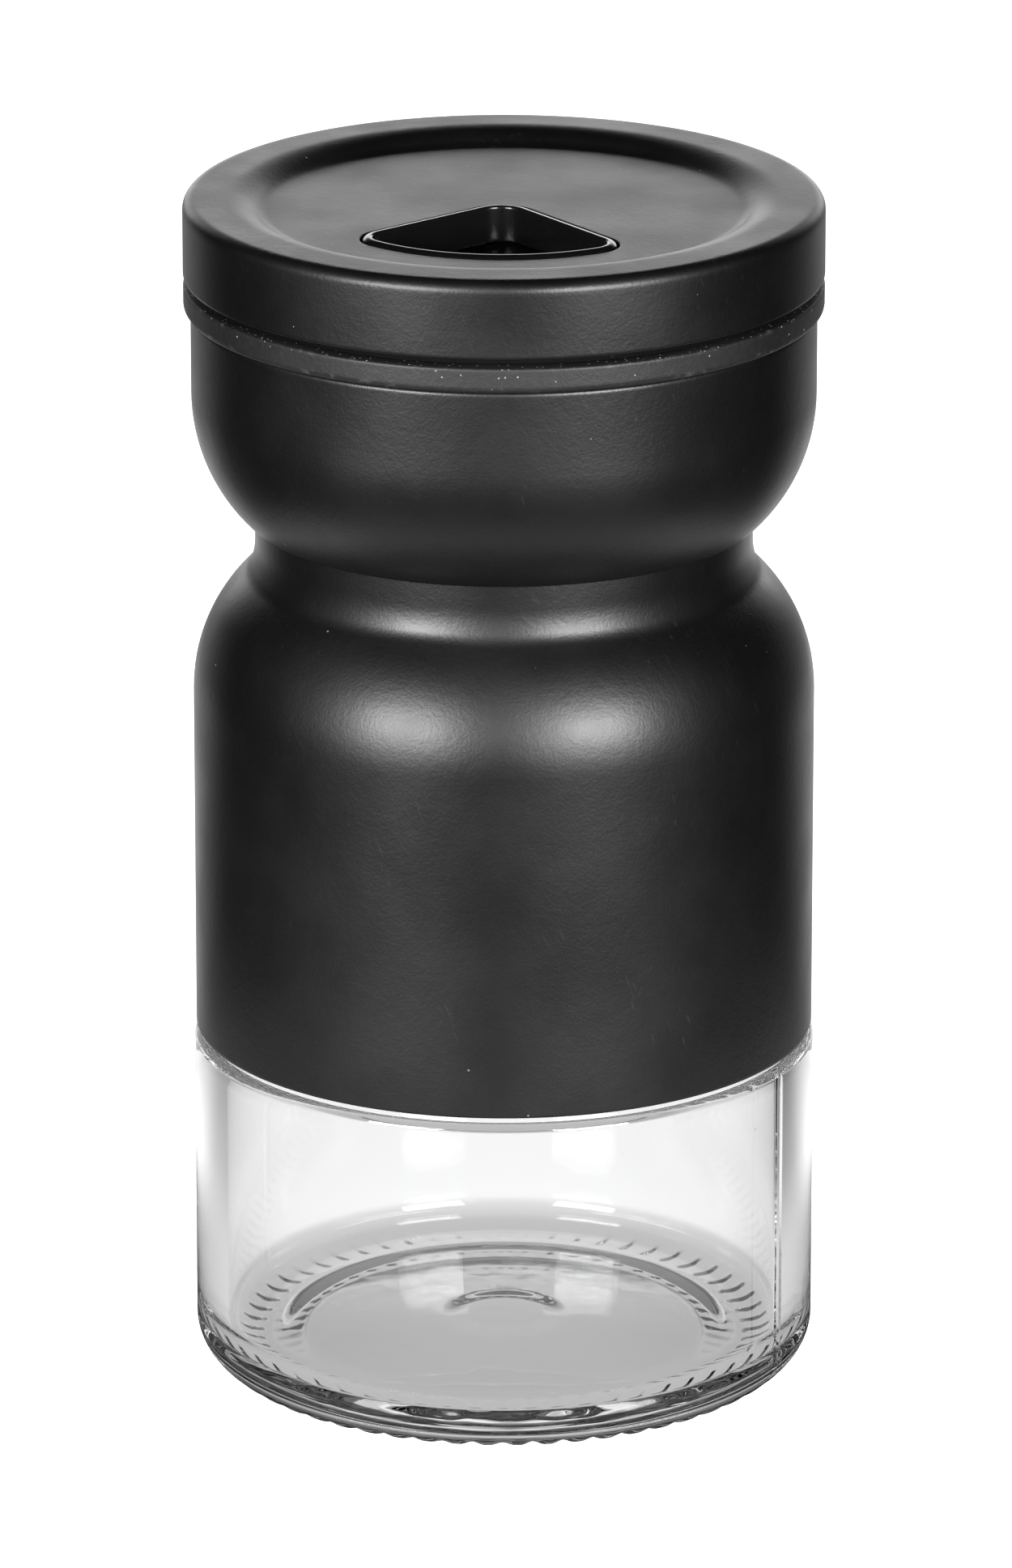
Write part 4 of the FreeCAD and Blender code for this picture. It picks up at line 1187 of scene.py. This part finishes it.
# %% Body of the dial insert
INSERT_UNDER = 95.8
INSERT_TOP = 97.0
INSERT_START = 18.4
INSERT_END = 16.4
OUTER_WALL = (24.65, 25.45)
OUTER_WALL_LOW = 92.8
OUTER_WALL_TOP = 98.7
BEAD = 23.95
BEAD_HEIGHTS = (94.1, 93.8, 93.4)
CARRIER = (17.0, 18.2)

inner, outer = OUTER_WALL
bead_top, bead_low, bead_end = BEAD_HEIGHTS
underneath = [(INSERT_START, INSERT_UNDER), (inner, INSERT_UNDER, SOFT), (inner, bead_top, CRISP),
              (BEAD, bead_top, FINE), (BEAD, bead_low), (SPIGOT_LIP, bead_end), (SPIGOT_LIP, OUTER_WALL_LOW)]
outer_wall = [(outer, OUTER_WALL_LOW, FINE), (outer, OUTER_WALL_TOP, SMALL), (inner, OUTER_WALL_TOP, SMALL),
              (inner, INSERT_TOP, SOFT)]
carrier = [(CARRIER[1], INSERT_TOP, SMALL), (CARRIER[1], DISH_UNDER, FINE), (CARRIER[0], DISH_UNDER, FINE),
           (CARRIER[0], INSERT_TOP, SMALL), (INSERT_END, INSERT_TOP)]
section = soften([*underneath, *outer_wall, *carrier], closed=False)
print("insert section points:", len(section))

# %% Chute of the dial insert
CHUTE_OUTER = 0.15
CHUTE_INNER = 1.05
CHUTE_START = -0.35
FOOT_ROUND = 0.3
END_ROUND = 0.14
FOOT_STEPS = 3
LIP_TOP = 98.82
LIP_OUTER_ROUND = 0.6
LIP_OUTER_STEPS = 6
LIP_INNER_ROUND = 0.2
LIP_INNER_STEPS = 4

chute_foot = arc((CHUTE_OUTER - FOOT_ROUND, INSERT_TOP + FOOT_ROUND), FOOT_ROUND, -90, 0, FOOT_STEPS)
outer_lip = arc((CHUTE_OUTER + LIP_OUTER_ROUND, LIP_TOP - LIP_OUTER_ROUND), LIP_OUTER_ROUND, 180, 90,
                LIP_OUTER_STEPS)
inner_lip = arc((CHUTE_INNER - LIP_INNER_ROUND, LIP_TOP - LIP_INNER_ROUND), LIP_INNER_ROUND, 90, 0,
                LIP_INNER_STEPS)
chute_end = arc((CHUTE_INNER - END_ROUND, INSERT_UNDER + END_ROUND), END_ROUND, 0, -90, FOOT_STEPS)
chute = [(CHUTE_START, INSERT_TOP, 0.0)]
chute += marked(chute_foot, 0.0) + marked(outer_lip + inner_lip, 1.0)
chute += [(CHUTE_INNER, LIP_TOP - LIP_INNER_ROUND - SUPPORT, 0.0), (CHUTE_INNER, INSERT_UNDER + SOFT, 0.0)]
chute += marked(chute_end, 1.0) + [(CHUTE_INNER - SOFT, INSERT_UNDER, 0.0)]
mesh = dial_skin("dial_insert_moulding", section, chute)
set_piece("dial_insert_moulding", mesh, dial_plastic, "dial", "dial_insert")

# %% [markdown]
# ## Arc of holes
# The sifter has a quarter of fine holes and a quarter of coarse ones, and the holes lie on arcs. This small
# tree makes one arc of hole outlines from a count and a radius. It gives curves, not faces, for the tree
# of the plate to fill round.

# %% Arc of holes
HOLE_HALF_ANGLE = math.radians(32)
HOLE_SIDES = 28

hole_arc, take, give = new_group(
    "arc_of_holes", "GeometryNodeTree",
    {"Count": ("NodeSocketInt", 3), "Arc Radius": (FLOAT, 5.0), "Hole Radius": (FLOAT, 0.8),
     "Direction": (FLOAT, 0.0)},
    {"Geometry": GEOMETRY})
number = add(hole_arc, "GeometryNodeInputIndex").outputs[0]
step = calc(hole_arc, "DIVIDE", 2 * HOLE_HALF_ANGLE, calc(hole_arc, "SUBTRACT", take["Count"], 1.0))
swing = calc(hole_arc, "MULTIPLY_ADD", number, step, -HOLE_HALF_ANGLE)
swing = calc(hole_arc, "ADD", swing, take["Direction"])
out = calc(hole_arc, "MULTIPLY", take["Arc Radius"], MM)
spot = add(hole_arc, "ShaderNodeCombineXYZ",
           {0: calc(hole_arc, "MULTIPLY", calc(hole_arc, "COSINE", swing), out),
            1: calc(hole_arc, "MULTIPLY", calc(hole_arc, "SINE", swing), out)}).outputs[0]
spots = add(hole_arc, "GeometryNodePoints", {"Count": take["Count"], "Position": spot}).outputs[0]
hole_size = calc(hole_arc, "MULTIPLY", take["Hole Radius"], MM)
hole = add(hole_arc, "GeometryNodeCurvePrimitiveCircle",
           {"Resolution": HOLE_SIDES, "Radius": hole_size}).outputs[0]
holes = add(hole_arc, "GeometryNodeInstanceOnPoints", {"Points": spots, "Instance": hole}).outputs[0]
hole_arc.links.new(add(hole_arc, "GeometryNodeRealizeInstances", {0: holes}).outputs[0], give["Geometry"])
print("tree:", hole_arc.name)

# %% [markdown]
# ## Sifter plate
# Besides the two quarters of holes, the plate has an open quarter for pouring, and a closed one under the
# window at rest. The tree joins the rim, the pouring window and all arcs of holes, fills what lies between
# them, and thickens the sheet. Cutting each hole with a boolean would be slower and could fail.

# %% Tree of the sifter plate
HOLE_QUARTERS = [
    {"counts": (3, 4, 5, 6), "first": 5.0, "gap": 2.4, "hole": 0.8, "direction": 0.0},
    {"counts": (2, 3, 4), "first": 6.0, "gap": 3.4, "hole": 1.6, "direction": math.pi / 2},
]
PLATE_MERGE = 1e-3

plate, take, give = new_group(
    "sifter_plate", "GeometryNodeTree",
    {"Geometry": (GEOMETRY, None), "Thickness": (FLOAT, 0.0), "Height": (FLOAT, 0.0),
     "Material": (MATERIAL, None)},
    {"Geometry": GEOMETRY})
outline = add(plate, "GeometryNodeMeshToCurve", {0: take["Geometry"]}).outputs[0]
joined = add(plate, "GeometryNodeJoinGeometry", {0: outline})
for quarter in HOLE_QUARTERS:
    for k, count in enumerate(quarter["counts"]):
        sizes = {"Count": count, "Arc Radius": quarter["first"] + quarter["gap"] * k,
                 "Hole Radius": quarter["hole"], "Direction": quarter["direction"]}
        holes = add(plate, "GeometryNodeGroup", sizes, node_tree=hole_arc).outputs[0]
        plate.links.new(holes, joined.inputs[0])
sheet = add(plate, "GeometryNodeFillCurve", {0: joined.outputs[0]}).outputs[0]
thick = calc(plate, "MULTIPLY", take["Thickness"], MM)
raised = add(plate, "GeometryNodeExtrudeMesh",
             {"Mesh": sheet, "Offset Scale": thick, "Individual": False}).outputs[0]
below = add(plate, "GeometryNodeFlipFaces", {0: sheet}).outputs[0]
both = add(plate, "GeometryNodeJoinGeometry", {0: raised})
plate.links.new(below, both.inputs[0])
sealed = add(plate, "GeometryNodeMergeByDistance",
             {"Geometry": both.outputs[0], "Distance": MM * PLATE_MERGE}).outputs[0]
lift = add(plate, "ShaderNodeCombineXYZ", {2: calc(plate, "MULTIPLY", take["Height"], MM)}).outputs[0]
placed = add(plate, "GeometryNodeSetPosition", {"Geometry": sealed, "Offset": lift}).outputs[0]
close_tree(plate, give, placed, take["Material"])
print("tree:", plate.name)

# %% Sifter plate
SIFTER_RADIUS = 23.0
SIFTER_SIDES = 192
POUR_INSET = 1.6
POUR_EVERY = 4
HOLE_ROUND = 0.12
RIM_ANGLE = math.radians(60)

circle = arc((0, 0), SIFTER_RADIUS, 0, 360, SIFTER_SIDES)[:-1]
pour = [(y, -x) for x, y in sector_points(POUR_INSET)[::POUR_EVERY]]
edges = []
for first, outline in ((0, circle), (len(circle), pour)):
    edges += [(first + k, first + (k + 1) % len(outline)) for k in range(len(outline))]
outlines = bpy.data.meshes.new("sifter_plate_moulding")
outlines.from_pydata([(x * MM, y * MM, 0) for x, y in circle + pour], edges, [])
mesh = grow(outlines, plate, Thickness=SIFTER_TOP - DECK_TOP, Height=DECK_TOP, Material=dial_plastic)
shape = bmesh.new()
shape.from_mesh(mesh)
rims = [e for e in shape.edges if e.is_manifold and e.calc_face_angle() > RIM_ANGLE]
bmesh.ops.bevel(shape, geom=rims, offset=HOLE_ROUND * MM, segments=2, affect="EDGES", profile=0.5)
bmesh.ops.recalc_face_normals(shape, faces=shape.faces)
shape.to_mesh(mesh)
shape.free()
smooth(mesh)
set_piece("sifter_plate_moulding", mesh, dial_plastic, "lid", "sifter_plate")
